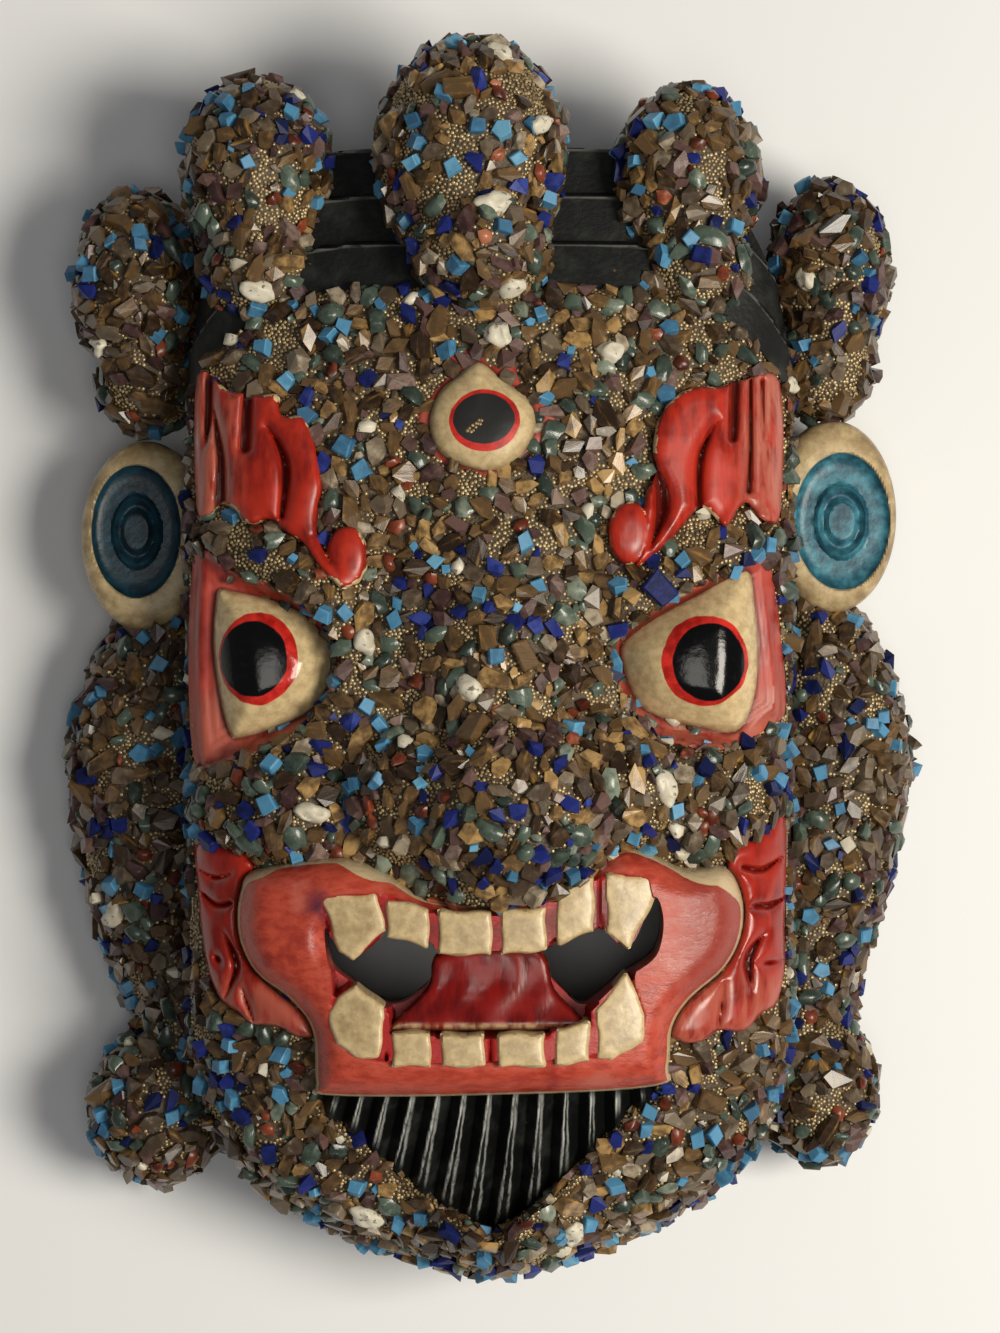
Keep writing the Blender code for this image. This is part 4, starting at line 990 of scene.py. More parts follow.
def stone_finish(name):
    """A stone that varies by its shade measure, clouded, with streaks along its grain; on the chips
    that measure also carries painted shade towards the sides.
    """
    dark, middle, pale, streak, gloss, size, streaked, specular, stretch = STONE_PAINTS[name]
    paint = Paint(name, middle, Roughness=gloss, Specular_IOR_Level=specular)
    place = paint.node("Attribute", output=1, attribute_name="grain")
    clouds = paint.work("SUBTRACT", paint.spots(3.0, place=place), 0.5)
    tone = paint.plus(paint.measure("shade"), paint.times(clouds, 1.1))
    colour = paint.fade(tone, 0.0, 0.6, dark, middle)
    colour = paint.fade(tone, 0.65, 1.05, colour, pale)
    lines = paint.spots(size, detail=5, stretch=stretch, place=place)
    colour = paint.fade(lines, *streaked, colour, streak)
    return paint.done(colour, lines, 0.3, 0.35)


# The wood

def make_ground(finish):
    """The whole wooden body with the paste on its front, as one closed solid."""
    lines = [head_outline(), *[curve_through(outline) for outline in LOCKS]]
    lines += [oval_corners(*form) for knob in KNOBS for form in knob]
    sheet = sheet_inside(ground_depth, *corners_of(*lines), GROUND_STEP)
    drawn_onto(sheet, inner_points(sheet), wood_depth, SNAP_SHARE * GROUND_STEP)

    def under(x, y):
        return back_height(x, y, ground_height(x, y))

    mesh = smooth_mesh("wooden_body", closed_between(sheet, ground_height, under), BODY_SHARPNESS)
    x, y, z = mesh_places(mesh).T
    on_front = z > ground_height(x, y) - PASTE_LAP
    paste = np.where(wood_depth(x, y) > SNAP, on_front, z > WALL_FOOT)
    add_measure(mesh, "paste", paste.astype(float))
    return mesh


# Crust

def crust_triangles(mesh):
    """Corners and facing of the triangles of the wood that carry the crust."""
    mesh.calc_loop_triangles()
    count = len(mesh.loop_triangles)
    corners = np.empty(count * 3, np.int32)
    mesh.loop_triangles.foreach_get("vertices", corners)
    places = mesh_places(mesh)
    corners = places[corners.reshape(-1, 3)]
    normals = np.cross(corners[:, 1] - corners[:, 0], corners[:, 2] - corners[:, 0])
    areas = np.linalg.norm(normals, axis=1) / 2
    normals = normals / np.maximum(2 * areas[:, None], 1e-9)
    middles = corners.mean(axis=1)
    x, y, z = middles.T
    head = wood_depth(x, y)
    facing = normals[:, 2]
    outside = (facing > FRONT_FACING) | ((head < BEYOND_HEAD) & (facing > SIDE_FACING))
    in_gap = gap_depth(x, y) > GAP_ROOM
    by_plug = np.max([depth_inside_oval(x, y, *panel) for panel, _ in EARS], axis=0) > 0
    bare = in_gap | (by_plug & (z < EAR_HEIGHT + CHIP_ROOM))
    kept = outside & (painted_depth(middles) < PAINT_LAP) & (z > WALL_FOOT) & ~bare & (areas > 1e-6)
    return corners[kept], normals[kept], areas[kept]


def scattered(triangles, count, dice):
    """Points spread evenly over triangles, and the facing of the surface at each."""
    corners, normals, areas = triangles
    picked = dice.choice(len(areas), count, p=areas / areas.sum())
    a, b = dice.random(count), dice.random(count)
    flip = a + b > 1
    a, b = np.where(flip, 1 - a, a), np.where(flip, 1 - b, b)
    first, second, third = corners[picked].transpose(1, 0, 2)
    places = first + (second - first) * a[:, None] + (third - first) * b[:, None]
    return places, normals[picked]


def tree_of(places):
    tree = KDTree(len(places))
    for index, place in enumerate(places):
        tree.insert(place, index)
    tree.balance()
    return tree


def settled(places, room, radius, most, widest):
    """Indices of points with room for a radius, taken in turn, each narrowing the room round it."""
    tree = tree_of(places)
    taken = []
    for index, place in enumerate(places):
        if len(taken) == most:
            break
        if room[index] < radius:
            continue
        taken.append(index)
        for _, other, distance in tree.find_range(place, radius + widest):
            room[other] = min(room[other], distance - radius)
    return taken


CUBE_SHIFT, CUBE_REACH, CUBE_LONGEST, CUBE_LEAN, CUBE_WEAR = 0.32, 0.24, 1.12, 0.35, (0.95, 1.05)
CHIP_SHIFT, CHIP_REACH, CHIP_LONGEST, CHIP_STEP = 0.4, 0.3, 1.15, 0.3


def ring_stack(sides, profile, unevenness, dice):
    """A cube of stone two units across: an uneven polygon stacked in rings of (share, height)."""
    shift, reach = CUBE_SHIFT * unevenness, CUBE_REACH * unevenness
    turns = (np.arange(sides) + dice.uniform(-shift, shift, sides)) * 2 * math.pi / sides
    reaches = dice.uniform(1 - reach, CUBE_LONGEST, sides)
    outline = np.column_stack([np.cos(turns), np.sin(turns)]) * reaches[:, None]
    lean = dice.uniform(-CUBE_LEAN, CUBE_LEAN, 2)
    rings = []
    for share, height in profile:
        ring = outline * share * dice.uniform(*CUBE_WEAR, (sides, 1))
        tilt = (ring @ lean) * max(height, 0)
        rings.append(np.column_stack([ring, np.full(sides, height) + tilt]))
    faces = [tuple(range(sides))[::-1]]
    for level in range(len(profile) - 1):
        low, high = level * sides, (level + 1) * sides
        for i in range(sides):
            j = (i + 1) % sides
            faces.append((low + i, low + j, high + j, high + i))
    faces.append(tuple(range((len(profile) - 1) * sides, len(profile) * sides)))
    return np.concatenate(rings), faces


def broken_chip(sides, profile, unevenness, dice):
    """A chip two units across: the hull of an uneven ring of points at each (share, height)."""
    hull = bmesh.new()
    for share, height in profile:
        shifts = dice.random() + np.arange(sides)
        turns = shifts + dice.uniform(-CHIP_SHIFT, CHIP_SHIFT, sides) * unevenness
        reaches = share * dice.uniform(1 - CHIP_REACH * unevenness, CHIP_LONGEST, sides)
        levels = height + dice.uniform(-CHIP_STEP, CHIP_STEP, sides) * unevenness
        for turn, reach, level in zip(turns * 2 * math.pi / sides, reaches, levels):
            hull.verts.new((reach * math.cos(turn), reach * math.sin(turn), level))
    bmesh.ops.convex_hull(hull, input=hull.verts)
    loose = [vertex for vertex in hull.verts if not vertex.link_faces]
    bmesh.ops.delete(hull, geom=loose, context="VERTS")
    bmesh.ops.recalc_face_normals(hull, faces=list(hull.faces))
    hull.verts.index_update()
    points = np.array([vertex.co[:] for vertex in hull.verts])
    faces = [tuple(vertex.index for vertex in face.verts) for face in hull.faces]
    hull.free()
    return points, faces


FLAKE = [(0.95, -0.8), (0.82, 0.8)]
SHARD = [(0.80, -0.9), (0.95, 0.7)]
CUBE = [(0.94, -1.0), (1.0, 0.78), (0.88, 1.0)]
PEBBLE = [(0.55, -0.9), (1.0, 0.0), (0.62, 0.85)]
# Kind: share, most radius, sides, profile, unevenness, length and thickness for width, tilt, smooth
STONE_KINDS = {
    "tiger_eye": (0.470, 3.0, (4, 5, 5, 6), FLAKE, 1.0, (1.1, 2.3), (0.26, 0.48), 1.0, False),
    "quartz": (0.125, 2.4, (5, 6), FLAKE, 0.9, (1.1, 2.0), (0.36, 0.60), 1.0, False),
    "aventurine": (0.130, 2.4, (5, 6), PEBBLE, 0.8, (1.1, 1.8), (0.36, 0.60), 1.0, True),
    "turquoise": (0.064, 1.75, (4, 4, 4, 5), CUBE, 0.5, (1.0, 1.4), (0.55, 0.85), 1.5, False),
    "lapis": (0.070, 2.0, (4, 4, 5), SHARD, 0.9, (1.0, 1.9), (0.45, 0.75), 1.3, False),
    "amethyst": (0.105, 2.4, (4, 5), FLAKE, 1.0, (1.1, 1.8), (0.36, 0.60), 1.0, False),
    "carnelian": (0.020, 1.6, (5, 6), PEBBLE, 0.6, (1.0, 1.5), (0.36, 0.60), 1.0, True),
    "howlite": (0.008, 1.7, (5, 6), PEBBLE, 0.9, (1.0, 1.6), (0.50, 0.75), 1.0, True),
}
VARIANTS, CHIP_SHARPNESS, GRAIN_REACH = 24, 46, 200


def facing_frames(normals, turns):
    """For each facing, three axes of a stone that is turned about it."""
    helper = np.where(np.abs(normals[:, 2:]) < 0.9, (0.0, 0.0, 1.0), (1.0, 0.0, 0.0))
    first = np.cross(helper, normals)
    first /= np.linalg.norm(first, axis=1)[:, None]
    second = np.cross(normals, first)
    cos, sin = np.cos(turns)[:, None], np.sin(turns)[:, None]
    return np.stack([first * cos + second * sin, second * cos - first * sin, normals], axis=1)


def merged_mesh(name, shapes, choices, sizes, frames, places, shades, dice, smooth):
    """Many small shapes in one mesh, each sized, turned and placed, with its shade and grain."""
    points, faces, counts, grains = [], [], [], []
    start = 0
    for choice, size, axes, place in zip(choices, sizes, frames, places):
        form, form_faces = shapes[choice]
        local = form * size
        points.append(local @ axes + place)
        faces += [tuple(start + i for i in face) for face in form_faces]
        counts.append(len(form))
        grains.append((local + dice.uniform(-GRAIN_REACH, GRAIN_REACH, 3)) * MM)
        start += len(form)
    mesh = bpy.data.meshes.new(name)
    mesh.from_pydata(np.concatenate(points).tolist(), [], faces)
    if smooth:
        mesh.shade_smooth()
        mesh.set_sharp_from_angle(angle=math.radians(CHIP_SHARPNESS))
    else:
        mesh.shade_flat()
    add_measure(mesh, "shade", np.repeat(shades, counts))
    add_measure(mesh, "grain", np.concatenate(grains))
    return mesh


def big_stone_places():
    """Middle and rough radius of each stone that the solid model already has."""
    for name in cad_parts:
        if name != "carved_mask":
            low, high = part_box(name)
            middle = (low + high) / 2 / MM
            yield np.array(middle) - (*SHIFT, 0), max(high - low) / MM / 2


def bead_zone(places):
    """Above nought in the streams and patches that the beads keep to themselves."""
    zones = []
    for place in places:
        stream = noise.noise(Vector(place) / STREAM_SIZE)
        patch = noise.noise(Vector(place) / PATCH_SIZE + PATCH_SHIFT)
        zones.append(max(STREAM_WIDTH - abs(stream), patch - PATCH_LEVEL))
    return np.array(zones)


def chip_kinds(places, dice):
    """A kind of stone for each place; a kind comes more often where its own noise is high."""
    names = list(STONE_KINDS)
    weights = np.empty((len(places), len(names)))
    for index, name in enumerate(names):
        shift = Vector((index * 17.3, 5.1, index * 3.7))
        lean = [noise.noise(Vector(place) / CLUSTER_SIZE + shift) for place in places]
        weights[:, index] = STONE_KINDS[name][0] * np.exp(KIND_CLUSTERS * np.array(lean))
    heights = np.cumsum(weights, axis=1)
    pick = dice.random(len(places)) * heights[:, -1]
    return (heights < pick[:, None]).sum(axis=1)


def make_chips(triangles, finishes, dice):
    """Chips of all kinds, biggest first, wherever the crust has room. Gives places and radii."""
    places, normals = scattered(triangles, CHIP_CANDIDATES, dice)
    room = np.full(len(places), FAR)
    for middle, radius in big_stone_places():
        room = np.minimum(room, np.linalg.norm(places - middle, axis=1) - radius)
    edge = -painted_depth(places)
    room = np.where(edge < FAR, np.minimum(room, edge + EDGE_OVERLAP), room)
    room = np.minimum(room, (places[:, 2] - FLOOR_GAP) / FLOOR_SHARE)
    room = np.where(bead_zone(places) > 0, -1, room).tolist()
    widest = CHIP_SIZES[0][0]
    taken, radii = [], []
    for radius, most in CHIP_SIZES:
        found = settled(places, room, radius, most, widest)
        taken += found
        radii += [radius] * len(found)
    places, normals, radii = places[taken], normals[taken], np.array(radii)

    kinds = chip_kinds(places, dice)
    for index, (name, form) in enumerate(STONE_KINDS.items()):
        _, most, sides, profile, unevenness, lengths, thicknesses, tilt, smooth = form
        mine = np.flatnonzero(kinds == index)
        shape_of = ring_stack if profile is CUBE else broken_chip
        shapes = [shape_of(dice.choice(sides), profile, unevenness, dice) for _ in range(VARIANTS)]
        longer = np.sqrt(dice.uniform(*lengths, len(mine)))
        spread = np.minimum(radii[mine], most) * dice.uniform(*CHIP_SPREAD, len(mine))
        thick = spread * dice.uniform(*thicknesses, len(mine))
        sizes = np.column_stack([spread * longer, spread / longer, thick])
        steep = dice.random((len(mine), 1)) < STEEP_SHARE
        leans = dice.normal(0, 1, (len(mine), 3)) * np.where(steep, STEEP_TILT, CHIP_TILT * tilt)
        tilted = normals[mine] + leans
        tilted /= np.linalg.norm(tilted, axis=1)[:, None]
        frames = facing_frames(tilted, dice.uniform(0, 2 * math.pi, len(mine)))
        lift = thick * (1 - CHIP_SINK) + dice.uniform(0, CHIP_LIFT, len(mine))
        centres = places[mine] + normals[mine] * lift[:, None]
        choices = dice.integers(VARIANTS, size=len(mine))
        # Painted shade: chip tones darker towards the sides
        side_painted_shade = SIDE_PAINTED_SHADE * soft_step(np.abs(centres[:, 0]) - SIDE_SHADE_START, SIDE_SHADE_WIDTH)
        shades = dice.random(len(mine)) * (1 - side_painted_shade)
        mesh = merged_mesh(
            f"{name}_chips", shapes, choices, sizes, frames, centres, shades, dice, smooth)
        add_piece(f"{name}_chips", mesh, finishes[name], name)
    return places, radii


def bead_shape():
    """A small ball: a ring of six points between two poles."""
    turns = np.arange(6) * math.pi / 3
    ring = np.column_stack([np.cos(turns), np.sin(turns), np.zeros(6)])
    points = np.concatenate([ring, [(0, 0, BEAD_POLE), (0, 0, -BEAD_POLE)]])
    sides = [(i, (i + 1) % 6) for i in range(6)]
    return points, [(i, j, 6) for i, j in sides] + [(j, i, 7) for i, j in sides]


def make_beads(triangles, chip_places, chip_radii, finish, dice):
    """Beads in streams and patches, along the painted edges, and between the chips."""
    places, normals = scattered(triangles, BEAD_CANDIDATES, dice)
    edge = -painted_depth(places)
    lining = (edge > LINING[0]) & (edge < LINING[1])
    between = dice.random(len(places)) < BEAD_SHARE
    first = (bead_zone(places) > 0) | lining
    order = np.argsort(~first, kind="stable")
    order = order[(first | between)[order]]
    places, normals = places[order], normals[order]
    chips = tree_of(chip_places)
    room = []
    for place in places:
        nearest = chips.find_n(place, 3)
        room.append(min(distance - chip_radii[index] for _, index, distance in nearest))
    is_open = np.array(room) > 0
    places, normals = places[is_open], normals[is_open]
    taken = settled(places, [FAR] * len(places), BEAD_SPACING, BEAD_COUNT, BEAD_SPACING)
    places, normals = places[taken], normals[taken]
    x, y = np.array(STRAY_BEADS).T
    strays = np.column_stack([x, y, third_eye_top(x, y)])
    places = np.concatenate([places + normals * BEAD_RADIUS * BEAD_LIFT, strays])
    normals = np.concatenate([normals, np.tile((0.0, 0.0, 1.0), (len(strays), 1))])
    for name, (low, high) in BEAD_PARTS.items():
        mine = (places[:, 1] > low) & (places[:, 1] <= high)
        count = int(mine.sum())
        sizes = np.full((count, 3), BEAD_RADIUS) * dice.uniform(*BEAD_SPREAD, (count, 1))
        frames = facing_frames(normals[mine], dice.uniform(0, 6, count))
        mesh = merged_mesh(
            f"{name}_beads", [bead_shape()], [0] * count, sizes, frames, places[mine],
            dice.random(count), dice, True)
        add_piece(f"{name}_beads", mesh, finish, "brass_beads")


# Painted forms

SIDES = ("left", "right")
BROW_DUST, DUST_MIDDLE, DUST_WIDTH = 0.9, 80, 13
# The eyelid's rim over the face and the socket, and the cut from it down to the eyeball
RIM_RISE, RIM_LIMIT, LID_CUT, LID_CUT_WIDTH = 1.4, 7, 2.6, 4.0
# Creases across the lid, and the width of the painted shade on the lid beside the eyeball
LID_CREASE, LID_CREASE_RATE, LID_CREASE_DRIFT, LID_SHADE = 0.16, 2.4, 5, 1.6
LID_DUST, LID_DUST_TOP, LID_DUST_WIDTH = 0.6, -12, 10
EYE_BASE, EYE_EDGE, EYE_FLATNESS = 0.4, 1.2, 0.35
# The third eye's base, the width of the painted shade on the flame round it, and that flame's
# collar
THIRD_BASE, THIRD_SHADE, FLAME_COLLAR, COLLAR_ROUNDING = 1.6, 1.5, (0.7, 1.2), 3
COLLAR_DUST, COLLAR_DUST_TOP, COLLAR_DUST_WIDTH = 0.5, 70, 8
# The dish's measure scale, and where and how wide the painted shade along the dish's edge is
DISH_SCALE, DISH_SHADE = 10, 0.12
LIP_BASE, CORNER_START, ROOF_RISE = 1.6, 3, 0.6
# The tan line along the lips' edge: its width, and the part above the upper teeth without it
LINE_WIDTH, LINE_END, LINE_MIDDLE, LINE_HALF, LINE_FADE = 1.25, (-68, 4), 8, 26, 6
# Painted shade over the right of the lips: its strength, and the x and the y where it comes in,
# each with its width
RIGHT_LIP_SHADE, RIGHT_LIP_SHADE_X, RIGHT_LIP_SHADE_Y = 0.75, (54, 16), (-100, 12)
# A dark purple patch at the left corner of the mouth: its middle, its stretch along Y, and its size
CORNER_PURPLE_PLACE, CORNER_PURPLE_STRETCH, CORNER_PURPLE_SIZE = (-48.4, -73.5), 1.7, 5.5
# Painted shade deeper in the mouth: its strength, the depth of opening it grows over and where it
# starts, and the foot and rise over which it comes in up the mouth
CAVITY_SHADE, CAVITY_DEPTH, CAVITY_START, CAVITY_FOOT, CAVITY_RISE = 0.55, 4, 0.4, -92, 14
TONGUE_RIPPLE, RIPPLE_LENGTH, RIPPLE_DRIFT = 0.21, 1.9, 4.5
TONGUE_BASE, TONGUE_ROUNDING, TONGUE_FOLD, TONGUE_DUST = 1.6, 3, 2, (-106.1, 0.8)
TOOTH_CROWN, TOOTH_CROWN_WIDTH, TOOTH_ROOT, TONGUE_ROOT = 0.7, 5.0, 1.5, 2.0
# How far the flames' chipping keeps off their edge, and the paler pink over their lower part, which
# is dust and a painted highlight: its strength, top and width
FLAME_EDGE, FLAME_DUST_AND_HIGHLIGHT, FLAME_DUST_AND_HIGHLIGHT_TOP, FLAME_DUST_AND_HIGHLIGHT_WIDTH = 1.2, 0.6, -95, 8
SIDE_PAINT, BEARD_BASE = 3, 0.8


def between_folds(x, y, inside, folds):
    """Distance in from an outline and from the folds across it, below nought within a fold."""
    for fold in folds:
        line = curve_through(fold, closed=False)
        for a, b in zip(line, line[1:]):
            distance, share = distance_to_piece(x, y, a, b)
            inside = np.minimum(inside, distance - a[2] - (b[2] - a[2]) * share)
    return inside


def lobes(inside, rises, roundings):
    """A height with a crisp edge and a gentle crown, cut down within the folds."""
    height = sum(rise * rounded(inside, radius) for rise, radius in zip(rises, roundings))
    return height - FOLD_CUT * np.clip(-inside / FOLD_REACH, 0, 1)


def seat_of(surface):
    """The underside of a form that is let into a surface."""
    return lambda x, y: surface(x, y) - SEAT - SKIRT


def fold_shade(inside):
    """Measure of how far the paint is from a fold, nought within it, where the painted shade is
    darkest.
    """
    return np.clip((inside + FOLD_SHADE) / FOLD_SOFTNESS, 0, 1)


def make_brow(side, finish):
    middle_x = DUST_MIDDLE * (side * 2 - 1)

    def inside(x, y):
        return brow_depth(side, x, y)

    def folds(x, y):
        return between_folds(x, y, inside(x, y), BROW_FOLDS)

    def top(x, y):
        return plain_face(x, y) + BROW_BASE + lobes(folds(x, y), BROW_RISE, BROW_ROUNDING)

    relief(
        f"brow_{SIDES[side]}", lambda x, y: inside(x, y) + ragged(x, y),
        corners_of(curve_through(BROWS[side]), oval_corners(*CURLS[side])), 0.5,
        top, seat_of(plain_face), finish, "red_lacquer",
        edge=lambda x, y: inside(x, y) + SIDE_PAINT * by_side(x),
        # Painted shade within the folds
        fold=lambda x, y: fold_shade(folds(x, y)),
        dust=lambda x, y: BROW_DUST * hump(np.abs(x - middle_x), DUST_WIDTH),
    )


def make_eye(side, lid_finish, ball_finish):
    lid, ball = LIDS[side], EYEBALLS[side]

    def lid_top(x, y):
        inside = depth_inside(x, y, lid)
        rim = np.minimum(plain_face(x, y) + RIM_RISE, socket(side, x, y) + RIM_LIMIT)
        cut = soft_step(inside - LID_CUT, LID_CUT_WIDTH)
        drift = np.sin(x / LID_CREASE_DRIFT)
        creases = LID_CREASE * np.sin(inside * LID_CREASE_RATE + drift)
        return rim + (socket(side, x, y) - rim) * cut + creases

    def ball_top(x, y):
        inside = depth_inside(x, y, ball)
        middle_x, middle_y = np.mean(ball, axis=0)
        far = np.hypot(x - middle_x, y - middle_y) / EYE_REACH
        crown = 1 - np.clip(far, 0, 1) ** 2
        bulge = EYE_BULGE * (EYE_FLATNESS + (1 - EYE_FLATNESS) * crown)
        edge = EYE_EDGE * rounded(inside, EYE_EDGE)
        return socket(side, x, y) + EYE_BASE + edge + bulge * swelling(inside, EYE_ROUNDING)

    relief(
        f"eyelid_{SIDES[side]}", lambda x, y: depth_inside(x, y, lid) + 2 * ragged(x, y),
        box_of(lid), 0.8, lid_top,
        lambda x, y: np.minimum(socket(side, x, y), lid_top(x, y)) - SEAT - SKIRT,
        lid_finish, "red_lacquer",
        edge=lambda x, y: depth_inside(x, y, lid) + 1 + 2 * by_side(x),
        # Painted shade on the lid, darkest beside the eyeball
        fold=lambda x, y: np.clip(-depth_inside(x, y, ball) / LID_SHADE, 0, 1),
        dust=lambda x, y: LID_DUST * soft_step(LID_DUST_TOP - y, LID_DUST_WIDTH),
    )
    relief(
        f"eyeball_{SIDES[side]}", within(ball), box_of(ball), 0.8,
        ball_top, lambda x, y: socket(side, x, y) - SKIRT, ball_finish, "cream_paint",
        edge=within(ball), ring=oval_share(EYE_RINGS[side]), pupil=oval_share(PUPILS[side]),
    )


def third_eye_top(x, y):
    inside = depth_inside(x, y, THIRD_EYE)
    return plain_face(x, y) + THIRD_BASE + THIRD_RISE * rounded(inside, THIRD_ROUNDING)


def make_third_eye(flame_finish, eye_paint):
    inside = within(THIRD_FLAME)

    def flame_top(x, y):
        base, rise = FLAME_COLLAR
        return plain_face(x, y) + base + rise * rounded(inside(x, y), COLLAR_ROUNDING)

    relief(
        "third_eye_flame", lambda x, y: inside(x, y) + ragged(x, y), box_of(THIRD_FLAME), 0.8,
        flame_top, seat_of(plain_face), flame_finish, "red_lacquer",
        edge=lambda x, y: inside(x, y) + 1,
        # Painted shade on the flame, darkest beside the third eye
        fold=lambda x, y: np.clip(-depth_inside(x, y, THIRD_EYE) / THIRD_SHADE, 0, 1),
        dust=lambda x, y: COLLAR_DUST * soft_step(COLLAR_DUST_TOP - y, COLLAR_DUST_WIDTH),
    )
    relief(
        "third_eye", within(THIRD_EYE), box_of(THIRD_EYE), 0.6,
        third_eye_top, lambda x, y: plain_face(x, y) - SEAT, eye_paint, "cream_paint",
        edge=within(THIRD_EYE), ring=oval_share(THIRD_RING), pupil=oval_share(THIRD_PUPIL),
    )


def make_ear(side, finish):
    panel, dish = EARS[side]

    def inside(x, y):
        return depth_inside_oval(x, y, *panel)

    def cut(x, y):
        return depth_inside_oval(x, y, *dish) / min(dish[2:])

    def boss_crease(x, y):
        return hump(np.abs(cut(x, y) - BOSS_GROOVE), BOSS_RIM)

    def top(x, y):
        z = EAR_HEIGHT - EAR_ROUNDING * (1 - rounded(inside(x, y), EAR_ROUNDING))
        boss = rounded(cut(x, y) - BOSS_START, BOSS_RIM) - boss_crease(x, y)
        return z - DISH_DEPTH * rounded(cut(x, y), DISH_RIM) + BOSS_RISE * boss

    def under(x, y):
        return EAR_BACK + EAR_ROUNDING * (1 - rounded(inside(x, y), EAR_ROUNDING))

    def crease(x, y):
        dish_edge = hump(np.abs(cut(x, y) - DISH_SHADE), DISH_SHADE)
        return np.maximum(boss_crease(x, y), dish_edge)

    relief(
        f"ear_plug_{SIDES[side]}", inside, corners_of(oval_corners(*panel)), 0.7,
        top, under, finish, "cream_paint",
        edge=inside, dish=lambda x, y: cut(x, y) * DISH_SCALE, crease=crease,
    )


def make_headband(finish):
    def band_outline(x, y):
        return np.minimum(band_place(x, y), head_depth(x, y) + EDGE_REACH)

    def saw(x, y):
        """Place within a tier, 0 at its foot and 1 at its top, with a short steep return."""
        place = np.maximum(band_place(x, y), 0) / TIER_HEIGHT
        place = place - np.floor(place)
        rise = 1 - TIER_RETURN
        return np.where(place < rise, place / rise, (1 - place) / TIER_RETURN)

    def top(x, y):
        shift = (0.5 - saw(x, y)) * TIER_HEIGHT * TIER_FLATNESS
        return vault(x, y + shift) + BAND_RISE

    def under(x, y):
        on_wood = wood_depth(x, y) > BAND_WALL
        return np.where(on_wood, vault(x, y) - SEAT - SKIRT, BAND_BACK)

    relief(
        "headband", band_outline, corners_of(BAND_BOX), 1.0, top, under, finish, "black_paint",
        # Lighter near each tier's upper edge: wear and a painted highlight
        sharp=35, wear=lambda x, y: 1 - np.abs(saw(x, y) - WEAR_AND_HIGHLIGHT_PLACE) / WEAR_AND_HIGHLIGHT_WIDTH,
    )


def mouth_depth(x, y):
    return np.minimum(depth_inside(x, y, LIPS), -gap_depth(x, y))


def make_mouth(finish):
    opening = within(OPEN_MOUTH)

    def floor(x, y):
        """The mouth's floor, which rises into gums beside the teeth and at their roots."""
        depths = []
        for tooth in TEETH:
            root = math.copysign(GUM_REACH, MOUTH_LEVEL - tooth[0][1])
            for across in (-GUM_REACH, 0, GUM_REACH):
                for up in (0, root):
                    depths.append(depth_inside(x + across, y + up, tooth, smooth=False))
        gum = TOOTH_HEIGHT - TOOTH_ARCH * x ** 2 - GUM_DROP
        return MOUTH_FLOOR + (gum - MOUTH_FLOOR) * soft_step(np.max(depths, axis=0), GUM_SLOPE)

    def top(x, y):
        inside = depth_inside(x, y, LIPS)
        z = vault(x, y) + LIP_BASE + (LIP_RISE - LIP_BASE) * rounded(inside, LIP_ROUNDING)
        corner = depth_inside_oval(x, y, *LEFT_CORNER) - CORNER_START
        z = z - CORNER_FALL * soft_step(corner, CORNER_WIDTH)
        return z + (floor(x, y) - z) * soft_step(opening(x, y) - MOUTH_MARGIN, MOUTH_SLOPE)

    def under(x, y):
        wall = np.where(opening(x, y) > 0, MOUTH_FLOOR, vault(x, y)) - SEAT - SKIRT
        return np.where(gap_depth(x, y) > -1.0, HOLLOW_DEPTH + ROOF_RISE, wall)

    def rim(x, y):
        wide = LINE_WIDTH + sum(
            most * hump(np.hypot(x - cx, y - cy), reach) for cx, cy, reach, most in RIM_PATCHES)
        low, fade = LINE_END
        across = np.clip((LINE_HALF - np.abs(x - LINE_MIDDLE)) / LINE_FADE, 0, 1)
        upper = np.clip((y - low) / fade, 0, 1) * across
        return depth_inside(x, y, LIPS) / wide + 3 * upper

    # Painted shade over the right of the lips
    def aged(x, y):
        (left, wide), (low, high) = RIGHT_LIP_SHADE_X, RIGHT_LIP_SHADE_Y
        return RIGHT_LIP_SHADE * soft_step(x - left, wide) * soft_step(y - low, high)

    # A dark purple patch at the left corner of the mouth
    def smudge(x, y):
        cx, cy = CORNER_PURPLE_PLACE
        return hump(np.hypot(x - cx, (y - cy) / CORNER_PURPLE_STRETCH), CORNER_PURPLE_SIZE)

    # Painted shade, deeper in the opening and higher up the mouth
    def shade(x, y):
        deep = np.clip(opening(x, y) / CAVITY_DEPTH - CAVITY_START, 0, 1)
        return deep * np.clip((y - CAVITY_FOOT) / CAVITY_RISE, 0, 1) * CAVITY_SHADE

    relief(
        "lips", mouth_depth, box_of(LIPS), 0.75, top, under, finish, "red_lacquer", sharp=50,
        crease=lambda x, y: opening(x, y) - MOUTH_MARGIN + MOUTH_SLOPE,
        rim=rim, cavity=opening, aged=aged, smudge=smudge, shade=shade,
    )


